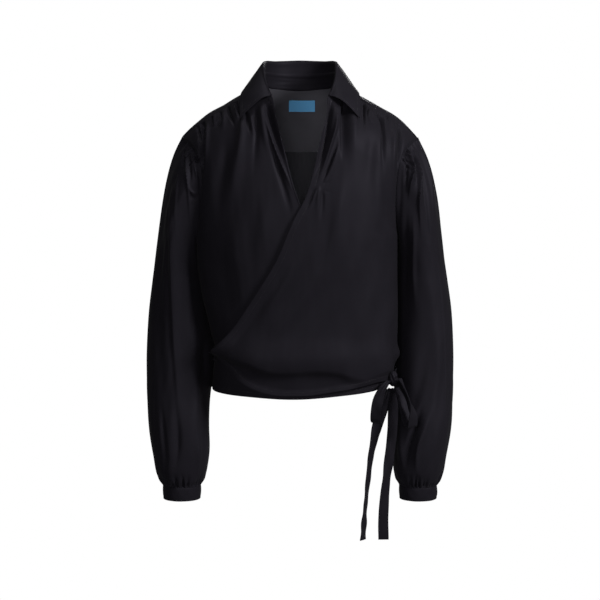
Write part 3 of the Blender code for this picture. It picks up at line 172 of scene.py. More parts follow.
class Fold(NamedTuple):
    """Soft ridge (or trough, if its height is negative) along a path of (across, z) points.

    Attributes:
        skew: How much wider it is to the left of its path, going down, than to the right.
    """

    path: tuple[Pair, ...]
    width: float
    end_width: float
    height: float
    peak: float
    skew: float = 0.0


def rows_of(kind: type[NamedTuple], *rows: tuple[float, ...]) -> tuple:
    """Rows of a table, each of its kind, from plain tuples of numbers."""
    return tuple(kind(*row) for row in rows)


def fold(
    width: float, end_width: float, height: float, peak: float, *path: float, skew: float = 0.0
) -> Fold:
    """Fold from sizes and a path (across, z, across, z ...) in millimetres."""
    line = tuple((path[k] / 1000.0, path[k + 1] / 1000.0) for k in range(0, len(path), 2))
    return Fold(line, width / 1000.0, end_width / 1000.0, height / 1000.0, peak, skew)


# ---- small helpers
def column(rows: Sequence[NamedTuple], name: str) -> Array:
    """One named column of a table as an array."""
    return np.array([getattr(row, name) for row in rows], dtype=float)


def hermite(t: Array, start: Array, end: Array, leave: Array, arrive: Array) -> Array:
    """Place at a share t of a cubic between two places, with the ways it leaves and arrives."""
    place = (2 * t**3 - 3 * t**2 + 1) * start + (3 * t**2 - 2 * t**3) * end
    return place + (t**3 - 2 * t**2 + t) * leave + (t**3 - t**2) * arrive


def curve(knots: Array, values: Array, at: Array) -> Array:
    """Smooth cubic through values at rising knots, held level past both ends.

    Args:
        knots: Rising places.
        values: Value at each knot.
        at: Places to read.

    Returns:
        The value at each place.
    """
    slopes = np.gradient(values, knots)
    at = np.clip(np.asarray(at, dtype=float), knots[0], knots[-1])
    low = np.clip(np.searchsorted(knots, at) - 1, 0, len(knots) - 2)
    span = knots[low + 1] - knots[low]
    t = (at - knots[low]) / span
    return hermite(t, values[low], values[low + 1], slopes[low] * span, slopes[low + 1] * span)


def table(rows: Sequence[NamedTuple], key: str, value: str, at: Array) -> Array:
    """Look a value up in a table by its key column."""
    return curve(column(rows, key), column(rows, value), at)


def smooth(t: Array) -> Array:
    """Smooth step from 0 to 1."""
    t = np.clip(t, 0.0, 1.0)
    return t * t * (3.0 - 2.0 * t)


def bump(distance: Array, width: Array | float) -> Array:
    """Soft bell of height 1."""
    return np.exp(-((distance / width) ** 2))


class Ramp(NamedTuple):
    """Smooth step: where it starts and how long it is, negative if it goes down or back."""

    start: float
    length: float

    def at(self, place: Array) -> Array:
        """Share of the step, from 0 to 1, at a place."""
        return smooth((place - self.start) / self.length)


class Bell(NamedTuple):
    """Soft bell: its middle, its width and its height."""

    middle: float
    width: float
    height: float = 1.0

    def at(self, place: Array) -> Array:
        """Height of the bell at a place."""
        return self.height * bump(place - self.middle, self.width)


def unit(vectors: Array) -> Array:
    """Vectors of length 1 (a zero vector stays zero)."""
    return vectors / np.maximum(np.linalg.norm(vectors, axis=-1, keepdims=True), 1e-12)


def stacked(*parts: Array) -> Array:
    """Points from their coordinates, which may have different shapes."""
    return np.stack(np.broadcast_arrays(*parts), axis=-1)


def squared(sine: Array, cosine: Array, power: float) -> Array:
    """Factor that makes a circle a rounded square (round at power 2)."""
    return (np.abs(sine) ** power + np.abs(cosine) ** power) ** (-1.0 / power)


def run_length(points: Array) -> Array:
    """Length along a line of points, from 0 at its start."""
    steps = np.linalg.norm(np.diff(points, axis=0), axis=1)
    return np.concatenate([[0.0], np.cumsum(steps)])


def along_line(points: Array, share: Array) -> Array:
    """Points at shares 0..1 of the length of a smooth curve through points."""
    length = run_length(points)
    at = share * length[-1]
    return np.stack([curve(length, points[:, k], at) for k in range(points.shape[1])], axis=-1)


def between(at: Array, knots: Array, points: Array) -> Array:
    """Points on the straight lines between points given at rising knots."""
    return np.stack([np.interp(at, knots, points[:, k]) for k in range(points.shape[1])], axis=-1)


def evenly(plane: Array, form: Form, count: int) -> Array:
    """Spread the points of a plane line evenly by their length on the form.

    Args:
        plane: Line of (first, second) parameters of the form, densely set.
        form: Turns parameters into points in space.
        count: Number of points wanted.

    Returns:
        The evenly spread line of parameters.
    """
    length = run_length(form(plane[:, 0], plane[:, 1]))
    return between(np.linspace(0.0, length[-1], count), length, plane)


def coons(top: Array, bottom: Array, start: Array, end: Array) -> Array:
    """Grid of plane points stretched between four edges."""
    across = np.linspace(0.0, 1.0, len(top))[None, :, None]
    down = np.linspace(0.0, 1.0, len(start))[:, None, None]
    ruled = (1 - down) * top[None] + down * bottom[None]
    sided = (1 - across) * start[:, None] + across * end[:, None]
    upper = (1 - across) * top[0] + across * top[-1]
    lower = (1 - across) * bottom[0] + across * bottom[-1]
    return ruled + sided - (1 - down) * upper - down * lower


def lengths(points: Array, axis: int) -> Array:
    """Length along a grid's rows (axis 1) or columns (axis 0), from 0 at the first."""
    steps = np.linalg.norm(np.diff(points, axis=axis), axis=-1)
    first = np.zeros_like(np.take(steps, [0], axis=axis))
    return np.concatenate([first, np.cumsum(steps, axis=axis)], axis=axis)


def edge_distance(points: Array, edge: Edge) -> Array:
    """Distance along the cloth of each point of a grid from one of its edges."""
    axis = 1 if edge in (Edge.START, Edge.END) else 0
    length = lengths(points, axis)
    if edge in (Edge.END, Edge.BOTTOM):
        length = np.take(length, [-1], axis=axis) - length
    return length


def near_edge(points: Array, edge: Edge, reach: float) -> Array:
    """1 at an edge of a grid, falling to 0 at a reach from it."""
    return 1.0 - smooth(edge_distance(points, edge) / reach)


def seam_fade(points: Array, sewn: dict[Edge, float]) -> Array:
    """Strength of the folds over a grid: none at the sewn edges, whole further in."""
    fade = np.ones(points.shape[:2])
    for edge, reach in sewn.items():
        fade = fade * smooth(edge_distance(points, edge) / reach)
    return fade


def seam_sink(
    points: Array, sewn: Iterable[Edge], depth: float = 0.0005, reach: float = 0.0035
) -> Array:
    """Small dip of the cloth beside its sewn edges."""
    return -sum(depth * near_edge(points, edge, reach) for edge in sewn)


def shallow(height: Array, deepest: Array) -> Array:
    """Heights whose troughs level out at a greatest depth."""
    return np.where(height < 0.0, -deepest * np.tanh(-height / deepest), height)


def raised(points: Array, height: Array, outward: Array) -> Array:
    """Points moved outwards by a height."""
    return points + height[..., None] * outward


def grid_normals(points: Array, towards: Array) -> Array:
    """Normals of a grid, all turned to the side of a direction at its middle.

    Args:
        points: Grid of points.
        towards: Direction that the middle point's normal should agree with.

    Returns:
        One normal for each point.
    """
    normal = unit(np.cross(np.gradient(points, axis=1), np.gradient(points, axis=0)))
    middle = normal[points.shape[0] // 2, points.shape[1] // 2]
    return normal * (1.0 if float(middle @ towards) > 0 else -1.0)


def facing(points: Array) -> Array:
    """Way that a grid faces at its middle, as its faces are made."""
    r, c = points.shape[0] // 2, points.shape[1] // 2
    return np.cross(points[r, c + 1] - points[r, c], points[r - 1, c] - points[r, c])


def fold_height(folds: Sequence[Fold], across: Array, z: Array) -> Array:
    """Sum of all folds at plane points.

    Args:
        folds: Folds, whose paths are made smooth curves.
        across: First coordinate of the points.
        z: Second coordinate of the points.

    Returns:
        Height of the cloth above its form.
    """
    across, z = np.broadcast_arrays(across, z)
    total = np.zeros(across.shape)
    for one in folds:
        path = along_line(np.array(one.path), np.linspace(0.0, 1.0, 4 * len(one.path) - 3))
        length = run_length(path)
        nearest = np.full(across.shape, np.inf)
        share, side = np.zeros(across.shape), np.zeros(across.shape)
        for start, end, before in zip(path[:-1], path[1:], length[:-1]):
            run = end - start
            x_off, z_off = across - start[0], z - start[1]
            t = np.clip((x_off * run[0] + z_off * run[1]) / (run @ run), 0.0, 1.0)
            away = np.hypot(x_off - t * run[0], z_off - t * run[1])
            closer = away < nearest
            nearest = np.where(closer, away, nearest)
            side = np.where(closer, np.sign(z_off * run[0] - x_off * run[1]), side)
            share = np.where(closer, (before + t * np.linalg.norm(run)) / length[-1], share)
        width = (one.width + (one.end_width - one.width) * share) * (1.0 - one.skew * side)
        swell = np.where(share < one.peak, share / one.peak, (1.0 - share) / (1.0 - one.peak))
        total += one.height * smooth(swell) * bump(nearest, width)
    return total


@dataclass(frozen=True)
class Wander:
    """Smooth unevenness made of crossing waves, about as much up as down."""

    across: float
    down: float
    seed: int
    waves: int = 9
    stretch: Pair = (0.55, 1.5)

    def at(self, across: Array, down: Array) -> Array:
        """Height, mostly between -1 and 1, at plane points."""
        chance = np.random.default_rng(self.seed)
        total = np.zeros(np.broadcast(across, down).shape)
        for _ in range(self.waves):
            stretch = chance.uniform(*self.stretch, 2) * chance.choice([-1.0, 1.0], 2)
            phase = chance.uniform(0.0, ROUND)
            turn = across / (self.across * stretch[0]) + down / (self.down * stretch[1])
            total = total + np.sin(ROUND * turn + phase)
        return total / math.sqrt(self.waves)


@dataclass(frozen=True)
class Gathers:
    """Row of uneven gathers that run away from a seam.

    Attributes:
        drift: How far a gather may lean sideways over its length.
        stray: How far a gather may lie from its place, in pitches.
        widths: Least and greatest width at the seam, in pitches.
        widening: Width that a gather gains over the longest reach, as a share.
        rise: Distance from the seam over which a gather rises.
    """

    count: int
    start: float
    end: float
    length: float
    height: float
    seed: int
    drift: float = 0.004
    stray: float = 0.28
    least_length: float = 0.35
    least_height: float = 0.5
    widths: Pair = (0.24, 0.36)
    widening: float = 0.8
    rise: float = 0.004

    def at(self, along: Array, away: Array) -> Array:
        """Height at a place along the seam and a distance away from it."""
        chance = np.random.default_rng(self.seed)
        pitch = (self.end - self.start) / self.count
        total = np.zeros(np.broadcast(along, away).shape)
        for k in range(self.count):
            place = self.start + (k + 0.5 + chance.uniform(-self.stray, self.stray)) * pitch
            reach = self.length * chance.uniform(self.least_length, 1.0)
            height = self.height * chance.uniform(self.least_height, 1.0)
            lean = chance.uniform(-1.0, 1.0) * self.drift / self.length
            widening = 1.0 + self.widening * away / self.length
            width = pitch * chance.uniform(*self.widths) * widening
            fade = smooth(away / self.rise) * (1.0 - smooth(away / reach))
            total = total + height * fade * bump(along - place - lean * away, width)
        return total


# ---- the body's form
@dataclass(frozen=True)
class BodyForm:
    """Smooth form of the filled-out body that all body pieces lie on."""

    ring_power: float = 2.35
    rounding: float = 0.10
    step: float = 1e-4
    shoulder: tuple[ShoulderRow, ...] = rows_of(
        ShoulderRow,
        (-0.03, -0.0165), (0.0, -0.022), (0.03, -0.0165), (0.064, 0.002), (0.1, 0.021), (0.14, 0.0443),
        (0.165, 0.059), (0.19, 0.079), (0.205, 0.0955),
    )
    rings: tuple[TorsoRow, ...] = rows_of(
        TorsoRow,
        (-0.03, 0.215, 0.215, 0.094, 0.098), (0.0, 0.215, 0.215, 0.096, 0.1),
        (0.05, 0.213, 0.213, 0.101, 0.106), (0.1, 0.209, 0.209, 0.109, 0.11),
        (0.15, 0.19, 0.19, 0.117, 0.112), (0.2, 0.178, 0.178, 0.123, 0.111),
        (0.268, 0.1715, 0.1715, 0.124, 0.107), (0.32, 0.17, 0.1705, 0.12, 0.103),
        (0.38, 0.165, 0.1708, 0.115, 0.1), (0.43, 0.156, 0.17, 0.114, 0.102),
        (0.465, 0.149, 0.1685, 0.114, 0.104), (0.5, 0.152, 0.164, 0.106, 0.101),
        (0.54, 0.155, 0.162, 0.101, 0.099),
    )

    def ridge(self, x: Array) -> Array:
        """Height of the shoulder line at a distance from the middle."""
        return -table(self.shoulder, "x", "drop", np.abs(x))

    def size(self, sign: Array, z: Array, *names: str) -> Array:
        """Half width or depth of the ring at a height, by its columns for the two signs."""
        first, second = (table(self.rings, "drop", name, -z) for name in names)
        return np.where(sign < 0, first, second)

    def half_width(self, x: Array, z: Array) -> Array:
        """Half width of the ring on the side of x."""
        return self.size(x, z, "right", "left")

    def around(self, phi: Array, z: Array) -> Array:
        """Point at an angle from the middle front and a height."""
        sine, cosine = np.sin(phi), np.cos(phi)
        square = squared(sine, cosine, self.ring_power)
        x = self.half_width(sine, z) * square * sine
        below = np.clip((self.ridge(x) - z) / self.rounding, 0.0, 1.0)
        round_off = np.sqrt(1.0 - (1.0 - below) ** 2)
        return stacked(x, -self.size(-cosine, z, "front", "back") * square * cosine * round_off, z)

    def angle_of(self, x: Array, z: Array) -> Array:
        """Angle at which the front of the ring at this height reaches x."""
        ratio = np.clip(np.abs(x) / self.half_width(x, z), 0.0, 1.0 - 1e-9) ** self.ring_power
        return np.sign(x) * np.arctan((ratio / (1.0 - ratio)) ** (1.0 / self.ring_power))

    def over(self, x: Array, turn: Array) -> Array:
        """Point on the slice at x, a turn from the shoulder line (front < 0 < back)."""
        quarter = np.clip(np.abs(turn), 0.0, 1.0) * QUARTER
        below = np.maximum(np.abs(turn) - 1.0, 0.0) * self.rounding * QUARTER
        z = self.ridge(x) - self.rounding * (1.0 - np.cos(quarter)) - below
        ratio = np.clip(np.abs(x) / self.half_width(x, z), 0.0, 1.0) ** self.ring_power
        reach = (1.0 - ratio) ** (1.0 / self.ring_power)
        depth = self.size(turn, z, "front", "back")
        return stacked(x, np.sign(turn) * depth * reach * np.sin(quarter), z)

    def turn_of(self, x: Array, z: Array) -> Array:
        """Turn from the shoulder line of the height z on the slice at x."""
        below = np.maximum(self.ridge(x) - z, 0.0)
        curved = np.arccos(1.0 - np.clip(below / self.rounding, 0.0, 1.0)) / QUARTER
        return curved + np.maximum(below - self.rounding, 0.0) / (self.rounding * QUARTER)

    def normals(self, form: Form, first: Array, second: Array) -> Array:
        """Outward normals of a form, from small steps in its two parameters."""
        along_first = form(first + self.step, second) - form(first - self.step, second)
        along_second = form(first, second + self.step) - form(first, second - self.step)
        return unit(np.cross(along_first, along_second))


@dataclass(frozen=True)
class Seams:
    """Shared seam lines of the blouse: armholes, neckline and yoke."""

    form: BodyForm
    armhole_top: float = -0.0955
    armhole_bottom: float = -0.268
    front_corner: float = 1.0 / 32.0
    back_corner: float = 4.0 / 32.0
    yoke_front_drop: float = 0.0085
    yoke_level_from: float = 0.25
    yoke_level_to: float = 0.80
    neck_half_width: float = 0.0665
    neck_back_turn: float = 0.541
    neck_front_turn: float = 0.80
    neck_yoke_angle: float = math.radians(-18.7)
    neck_shoulder_angle: float = math.radians(40.0)
    neck_end_angle: float = math.radians(-46.0)
    right_side_hem: float = -0.533
    left_side_hem: float = -0.524
    armhole_steps: int = 160
    side_seam_steps: int = 120
    armhole: tuple[ArmholeRow, ...] = rows_of(
        ArmholeRow,
        (0.0955, 0.205), (0.1045, 0.1906), (0.12, 0.178), (0.136, 0.1708), (0.16, 0.1662),
        (0.19, 0.164), (0.22, 0.1638), (0.245, 0.1662), (0.268, 0.1715),
    )

    def armhole_height(self, turn: Array) -> Array:
        """Height of the armhole seam at a turn round it from the shoulder point."""
        share = (1.0 - np.cos(ROUND * np.asarray(turn))) / 2.0
        return self.armhole_top + (self.armhole_bottom - self.armhole_top) * share

    def armhole_x(self, z: Array) -> Array:
        """Distance of the armhole seam from the middle at a height."""
        return table(self.armhole, "drop", "x", -z)

    def armhole_angle(self, side: Side, turn: Array) -> Array:
        """Angle round the body of the armhole seam (front half, then back half)."""
        z = self.armhole_height(turn)
        front = self.form.angle_of(side.value * self.armhole_x(z), z)
        return np.where(np.asarray(turn) <= 0.5, front, side.value * math.pi - front)

    def armhole_points(self, side: Side, turn: Array) -> Array:
        """Points of the armhole seam."""
        return self.form.around(self.armhole_angle(side, turn), self.armhole_height(turn))

    def neckline(self, angle: Array) -> Line:
        """Slice and turn of the neckline at an angle (0 at the side, 90 degrees at the back)."""
        reach = np.where(np.asarray(angle) > 0, self.neck_back_turn, self.neck_front_turn)
        return self.neck_half_width * np.cos(angle), reach * np.sin(angle)

    def yoke_front(self, side: Side, share: Array) -> Line:
        """Slices and heights of the yoke's front seam, from the neck to the armhole."""
        form = self.form
        neck_x, neck_turn = self.neckline(self.neck_yoke_angle)
        corner_z = self.armhole_height(self.front_corner)
        corner_x = self.armhole_x(corner_z)
        neck_drop = form.ridge(neck_x) - form.over(neck_x, neck_turn)[2]
        corner_drop = form.ridge(corner_x) - corner_z
        x = neck_x + (corner_x - neck_x) * share
        knots = [0.0, self.yoke_level_from, self.yoke_level_to, 1.0]
        drops = [neck_drop, self.yoke_front_drop, self.yoke_front_drop, corner_drop]
        return side.value * x, form.ridge(x) - np.interp(share, knots, drops)

    def yoke_back(self, count: int) -> Line:
        """Angles and heights of the straight back seam, from the wearer's right to left."""
        z = self.armhole_height(self.back_corner)
        corner = self.form.angle_of(self.armhole_x(z), z)
        phi = np.linspace(math.pi + corner, math.pi - corner, count)
        return phi, np.full(phi.shape, float(z))

    def hem_at(self, side: Side) -> float:
        """Height of the hem at a side seam."""
        return self.right_side_hem if side is Side.RIGHT else self.left_side_hem

    def outer_edge(self, side: Side, first_turn: float, count: int, back: bool) -> Array:
        """Plane points down a panel's armhole and side seam.

        Args:
            side: Side of the wearer.
            first_turn: Turn round the armhole where the panel starts.
            count: Number of points.
            back: Whether the panel is the back.

        Returns:
            Line of (angle, height) points.
        """
        turn = np.linspace(first_turn, 0.5, self.armhole_steps)
        turn = 1.0 - turn if back else turn
        z = np.linspace(self.armhole_bottom, self.hem_at(side), self.side_seam_steps)[1:]
        seam = np.full(z.shape, side.value * QUARTER)
        phi = np.concatenate([self.armhole_angle(side, turn), seam])
        if back:
            phi[turn.size - 1] = side.value * QUARTER
        plane = np.stack([phi, np.concatenate([self.armhole_height(turn), z])], axis=-1)
        return evenly(plane, self.form.around, count)


# ---- making cloth
@dataclass
class ClothPiece:
    """One cut piece of cloth, ready to be laid.

    Attributes:
        node: Solid that it stands for.
        points: Grid of points of its outer side.
        outside: Direction that the outer side faces at the grid's middle.
        rests_on: What it hangs from or lies on; not used.
        closed: Whether the last column meets the first.
        slot: Name of its finish's slot; not used.
        finish: Material, if it isn't the tailor's own.
        inside: Material of its inner side, if that differs.
        middle: Grid of its middle, if that isn't the outer side; not used.
    """

    name: str
    node: str
    points: Array
    outside: Array
    held: Held = Held.DRAPED
    rests_on: tuple[str, ...] = ("yoke",)
    thickness: float = 0.0009
    closed: bool = False
    slot: str = SATIN_SLOT
    finish: Material | None = None
    inside: Material | None = None
    middle: Array | None = None

    def line(self, edge: Edge, distance: float, first_row: int = 0) -> Line:
        """Line on the piece at a distance in from one of its edges.

        Args:
            edge: Edge to measure from.
            distance: Distance along the cloth.
            first_row: Row of the grid that it starts at.

        Returns:
            Points and outward normals of the line.
        """
        points = self.points[first_row:]
        normals = grid_normals(self.points, self.outside)[first_row:]
        if edge in (Edge.TOP, Edge.BOTTOM):
            points, normals = points.transpose(1, 0, 2), normals.transpose(1, 0, 2)
        if edge in (Edge.END, Edge.BOTTOM):
            points, normals = points[:, ::-1], normals[:, ::-1]
        runs = lengths(points, 1)
        line, up = (
            np.array([between(distance, run, row) for run, row in zip(runs, grid)])
            for grid in (points, normals)
        )
        return line, unit(up)


@dataclass
class Tailor:
    finish: Material
    crease: float = math.radians(50.0)
    join: float = 1e-6

    def lay(self, piece: ClothPiece) -> None:
        """Make a finished piece of cloth."""
        made = self.grid(piece)
        made.data.materials.append(piece.finish or self.finish)
        if piece.inside:
            made.data.materials.append(piece.inside)
        wall = made.modifiers.new("thickness", "SOLIDIFY")
        wall.thickness = piece.thickness
        wall.offset = -1.0
        wall.material_offset = int(piece.inside is not None)
        bpy.ops.object.modifier_apply(modifier=wall.name)
        bpy.ops.object.shade_smooth_by_angle(angle=self.crease)
        self.attach(made, piece.slot, piece.node)

    def grid(self, piece: ClothPiece) -> Object:
        """Lay a flat grid of threads on the piece's points, with a UV map in metres."""
        points = piece.points
        rows, columns = points.shape[:2]
        bpy.ops.object.select_all(action="DESELECT")
        bpy.ops.mesh.primitive_grid_add(x_subdivisions=columns - 1, y_subdivisions=rows - 1, size=1.0)
        made = bpy.context.object
        made.name = made.data.name = piece.name
        mesh = made.data
        flat = np.empty(len(mesh.vertices) * 3)
        mesh.vertices.foreach_get("co", flat)
        flat = flat.reshape(-1, 3)
        column_of = np.rint((flat[:, 0] + 0.5) * (columns - 1)).astype(int)
        row_of = np.rint((0.5 - flat[:, 1]) * (rows - 1)).astype(int)
        mesh.vertices.foreach_set("co", points[row_of, column_of].ravel())
        across, down = lengths(points, 1), lengths(points, 0)
        across = across - across[:, -1:] / 2.0
        loops = np.empty(len(mesh.loops), dtype=int)
        mesh.loops.foreach_get("vertex_index", loops)
        layer = mesh.uv_layers[0]
        layer.name = UV_NAME
        place = np.stack([across[row_of, column_of], -down[row_of, column_of]], axis=-1)[loops]
        layer.data.foreach_set("uv", place.ravel().astype(np.float32))
        mesh.update()
        bpy.ops.object.mode_set(mode="EDIT")
        bpy.ops.mesh.select_all(action="SELECT")
        if piece.closed:
            bpy.ops.mesh.remove_doubles(threshold=self.join)
        if float(facing(points) @ piece.outside) < 0:
            bpy.ops.mesh.flip_normals()
        bpy.ops.object.mode_set(mode="OBJECT")
        return made

    def attach(self, made: Object, slot: str, *nodes: str) -> None:
        """Ride a piece on the blouse, and let it stand for its solids."""
        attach(made, "root")
        if nodes:
            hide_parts(*nodes)
        log.info("%s: %d faces", made.name, len(made.data.polygons))


@dataclass
class Stitching:
    """Lines of small thread stitches on the cloth."""

    tailor: Tailor
    thread: Material
    pitch: float = 0.0032
    length: float = 0.0023
    radius: float = 0.00021
    bury: float = 0.00006
    look: float = 0.0005

    def sew(self, name: str, lines: Sequence[Line]) -> None:
        """Sew stitches along lines, all in one piece.

        Args:
            name: Name of the piece.
            lines: Points and outward normals of each line.
        """
        bpy.ops.object.select_all(action="DESELECT")
        bpy.ops.mesh.primitive_uv_sphere_add(segments=6, ring_count=4, radius=1.0)
        made = bpy.context.object
        made.name = made.data.name = name
        one = made.data
        shape = np.array([vertex.co[:] for vertex in one.vertices])
        shape = shape * np.array([self.radius, self.length / 2.0, self.radius])
        faces = [tuple(face.vertices) for face in one.polygons]
        points, joined = [], []
        for line, normals in lines:
            length = run_length(line)
            count = max(int(length[-1] / self.pitch), 1)
            at = (np.arange(count) + 0.5) * length[-1] / count
            up = unit(between(at, length, normals))
            centre = between(at, length, line) - self.bury * up
            ahead, behind = between(at + self.look, length, line), between(at - self.look, length, line)
            along = unit(ahead - behind)
            across = np.cross(up, along)
            for k in range(count):
                joined += [tuple(v + len(points) * len(shape) for v in face) for face in faces]
                points.append(centre[k] + shape @ np.stack([across[k], along[k], up[k]]))
        one.clear_geometry()
        one.from_pydata(np.concatenate(points).tolist(), [], joined)
        one.validate()
        for face in one.polygons:
            face.use_smooth = True
        bpy.ops.object.mode_set(mode="EDIT")
        bpy.ops.mesh.select_all(action="SELECT")
        bpy.ops.mesh.normals_make_consistent(inside=False)
        bpy.ops.object.mode_set(mode="OBJECT")
        one.materials.append(self.thread)
        self.tailor.attach(made, SATIN_SLOT)


@dataclass(frozen=True)
class HemBand:
    """Turned edge: slightly thicker, with a shallow groove under its stitches."""

    width: float = 0.0090
    raised: float = 0.00035
    groove: float = 0.00045
    groove_width: float = 0.0012

    def at(self, distance: Array) -> Array:
        """Height at a distance from the edge."""
        band = self.raised * (1.0 - Ramp(self.width, self.groove_width).at(distance))
        return band - Bell(self.width, self.groove_width, self.groove).at(distance)


# ---- fronts
@dataclass(frozen=True)
class Front:
    """One front of the blouse.

    Attributes:
        edge: Free edge down from the neckline, with x towards its own side.
        hem: Hem from the free edge on.
        folds: Folds in front-view places.
    """

    name: str
    node: str
    side: Side
    edge: tuple[EdgeRow, ...]
    hem: tuple[EdgeRow, ...]
    folds: tuple[Fold, ...]
    columns: int
    rows: int
    seed: int
    neck_steps: int = 40
    path_steps: int = 400
    unevenness: float = 0.0004
    streaks: float = 0.2

    def line(self, rows: tuple[EdgeRow, ...]) -> Array:
        """Front-view points of a free edge or hem, on the front's own side."""
        return np.stack([self.side.value * column(rows, "x"), column(rows, "z")], axis=-1)

    def plane(self, seams: Seams) -> Array:
        """Grid of (angle, height) points, from the free edge to the armhole and side seam."""
        form, sign = seams.form, self.side.value
        shares = np.linspace(0.0, 1.0, self.path_steps)
        angles = np.linspace(seams.neck_yoke_angle, seams.neck_end_angle, self.neck_steps)
        neck_x, neck_turn = seams.neckline(angles)
        neck = form.over(sign * neck_x, neck_turn)[:, [0, 2]]
        path = along_line(np.concatenate([neck[-1:], self.line(self.edge)]), shares)
        x, z = np.concatenate([neck[:-1], path]).T
        start = np.stack([form.angle_of(x, z), z], axis=-1)
        seam_x, seam_z = seams.yoke_front(self.side, shares)
        top = np.stack([form.angle_of(seam_x, seam_z), seam_z], axis=-1)
        end = seams.outer_edge(self.side, seams.front_corner, self.rows, back=False)
        x, z = self.line(self.hem).T
        hem = np.concatenate([np.stack([form.angle_of(x, z), z], axis=-1), end[-1:]])
        bottom = along_line(hem, shares)
        top, bottom = (evenly(line, form.around, self.columns) for line in (top, bottom))
        return coons(top, bottom, evenly(start, form.around, self.rows), end)

    def uneven(self, x: Array, z: Array) -> Array:
        """Small unevenness that no fold names."""
        broad, streaks = Wander(0.06, 0.16, self.seed), Wander(0.020, 0.14, self.seed + 1)
        return self.unevenness * (broad.at(x, z) + self.streaks * streaks.at(x, z))


@dataclass(frozen=True)
class Roll:
    """Cloth that blouses over the hem: swells slowly from above and turns under fast."""

    line: tuple[EdgeRow, ...]
    height: float = 0.0084
    first_height: float = 0.0080
    first_reach: float = 0.055
    above: float = 0.036
    below: float = 0.0125
    fade: float = 0.014

    def at(self, x: Array, z: Array) -> Array:
        """Height at front-view places."""
        first, last = self.line[0].x, self.line[-1].x
        away = z - table(self.line, "x", "z", x)
        swell = np.where(away > 0, bump(away, self.above), bump(away, self.below))
        start, end = Ramp(first - self.fade / 4.0, self.fade), Ramp(last + self.fade / 4.0, -self.fade)
        height = self.height + self.first_height * bump(x - first, self.first_reach)
        return height * swell * start.at(x) * end.at(x)


@dataclass(frozen=True)
class Back:
    """The back panel: its gathers under the yoke, its long folds and its waist.

    Round the waist the tie makes folds that sway and slant: they are highest above it
    (blousing), on a swelling (fullness), and open again below it (skirt).
    """

    gathers: Gathers
    folds: tuple[Fold, ...]
    columns: int = 180
    rows: int = 116
    hem_middle: float = -0.536
    path_steps: int = 400
    plain: Bell = Bell(0.0, 0.035, 0.85)
    waist_folds: float = 13.0
    waist_sway: Pair = (0.9, 5.0)
    waist_slant: Pair = (2.0, -0.45)
    blousing: Bell = Bell(0.035, 0.055, 0.0034)
    fullness: Bell = Bell(0.052, 0.030, 0.0024)
    skirt: Ramp = Ramp(0.0, -0.020)
    skirt_height: float = 0.0035
    waves: tuple[Wander, Wander] = (Wander(0.07, 0.18, 31), Wander(0.024, 0.15, 32))
    unevenness: float = 0.0006
    streaks: float = 0.45
    dent: float = 0.0016
    sewn: tuple[tuple[Edge, float], ...] = ((Edge.TOP, 0.006), (Edge.START, 0.012), (Edge.END, 0.012))

    def plane(self, seams: Seams) -> Array:
        """Grid of (angle, height) points, from the left side seam to the right one."""
        form = seams.form
        top = np.stack(seams.yoke_back(self.path_steps), axis=-1)[::-1]
        start, end = (
            seams.outer_edge(side, seams.back_corner, self.rows, back=True)
            for side in (Side.LEFT, Side.RIGHT)
        )
        end[:, 0] += ROUND
        share = np.linspace(0.0, 1.0, self.path_steps)
        left, right = seams.hem_at(Side.LEFT), seams.hem_at(Side.RIGHT)
        z = left + (right - left) * share
        z = z + (self.hem_middle - (left + right) / 2.0) * np.sin(math.pi * share)
        bottom = np.stack([start[-1, 0] + (end[-1, 0] - start[-1, 0]) * share, z], axis=-1)
        top, bottom = (evenly(line, form.around, self.columns) for line in (top, bottom))
        return coons(top, bottom, start, end)

    def height(self, points: Array, phi: Array, from_tie: Array) -> Array:
        """Height of the gathers, folds and waist above the body.

        Args:
            points: Grid of points on the body.
            phi: Angle of each round the body.
            from_tie: Height of each above the tie's middle.

        Returns:
            Height of each point.
        """
        x, z = points[..., 0], points[..., 2]
        across = lengths(points, 1)
        across = across - across[:, -1:] / 2.0
        gathers = self.gathers.at(across, edge_distance(points, Edge.TOP))
        height = gathers * (1.0 - self.plain.at(across)) + fold_height(self.folds, x, z)
        turned = phi - math.pi
        sway, slant = self.waist_sway, self.waist_slant
        phase = turned * self.waist_folds + sway[0] * np.sin(turned * sway[1])
        waist = np.cos(phase + slant[0] * (z - slant[1]))
        height = height + self.blousing.at(from_tie) * waist + self.fullness.at(from_tie)
        height = height + self.skirt.at(from_tie) * (1.0 + waist) / 2.0 * self.skirt_height
        broad, streaks = (wave.at(x, z) for wave in self.waves)
        return height + self.unevenness * (broad + self.streaks * streaks)


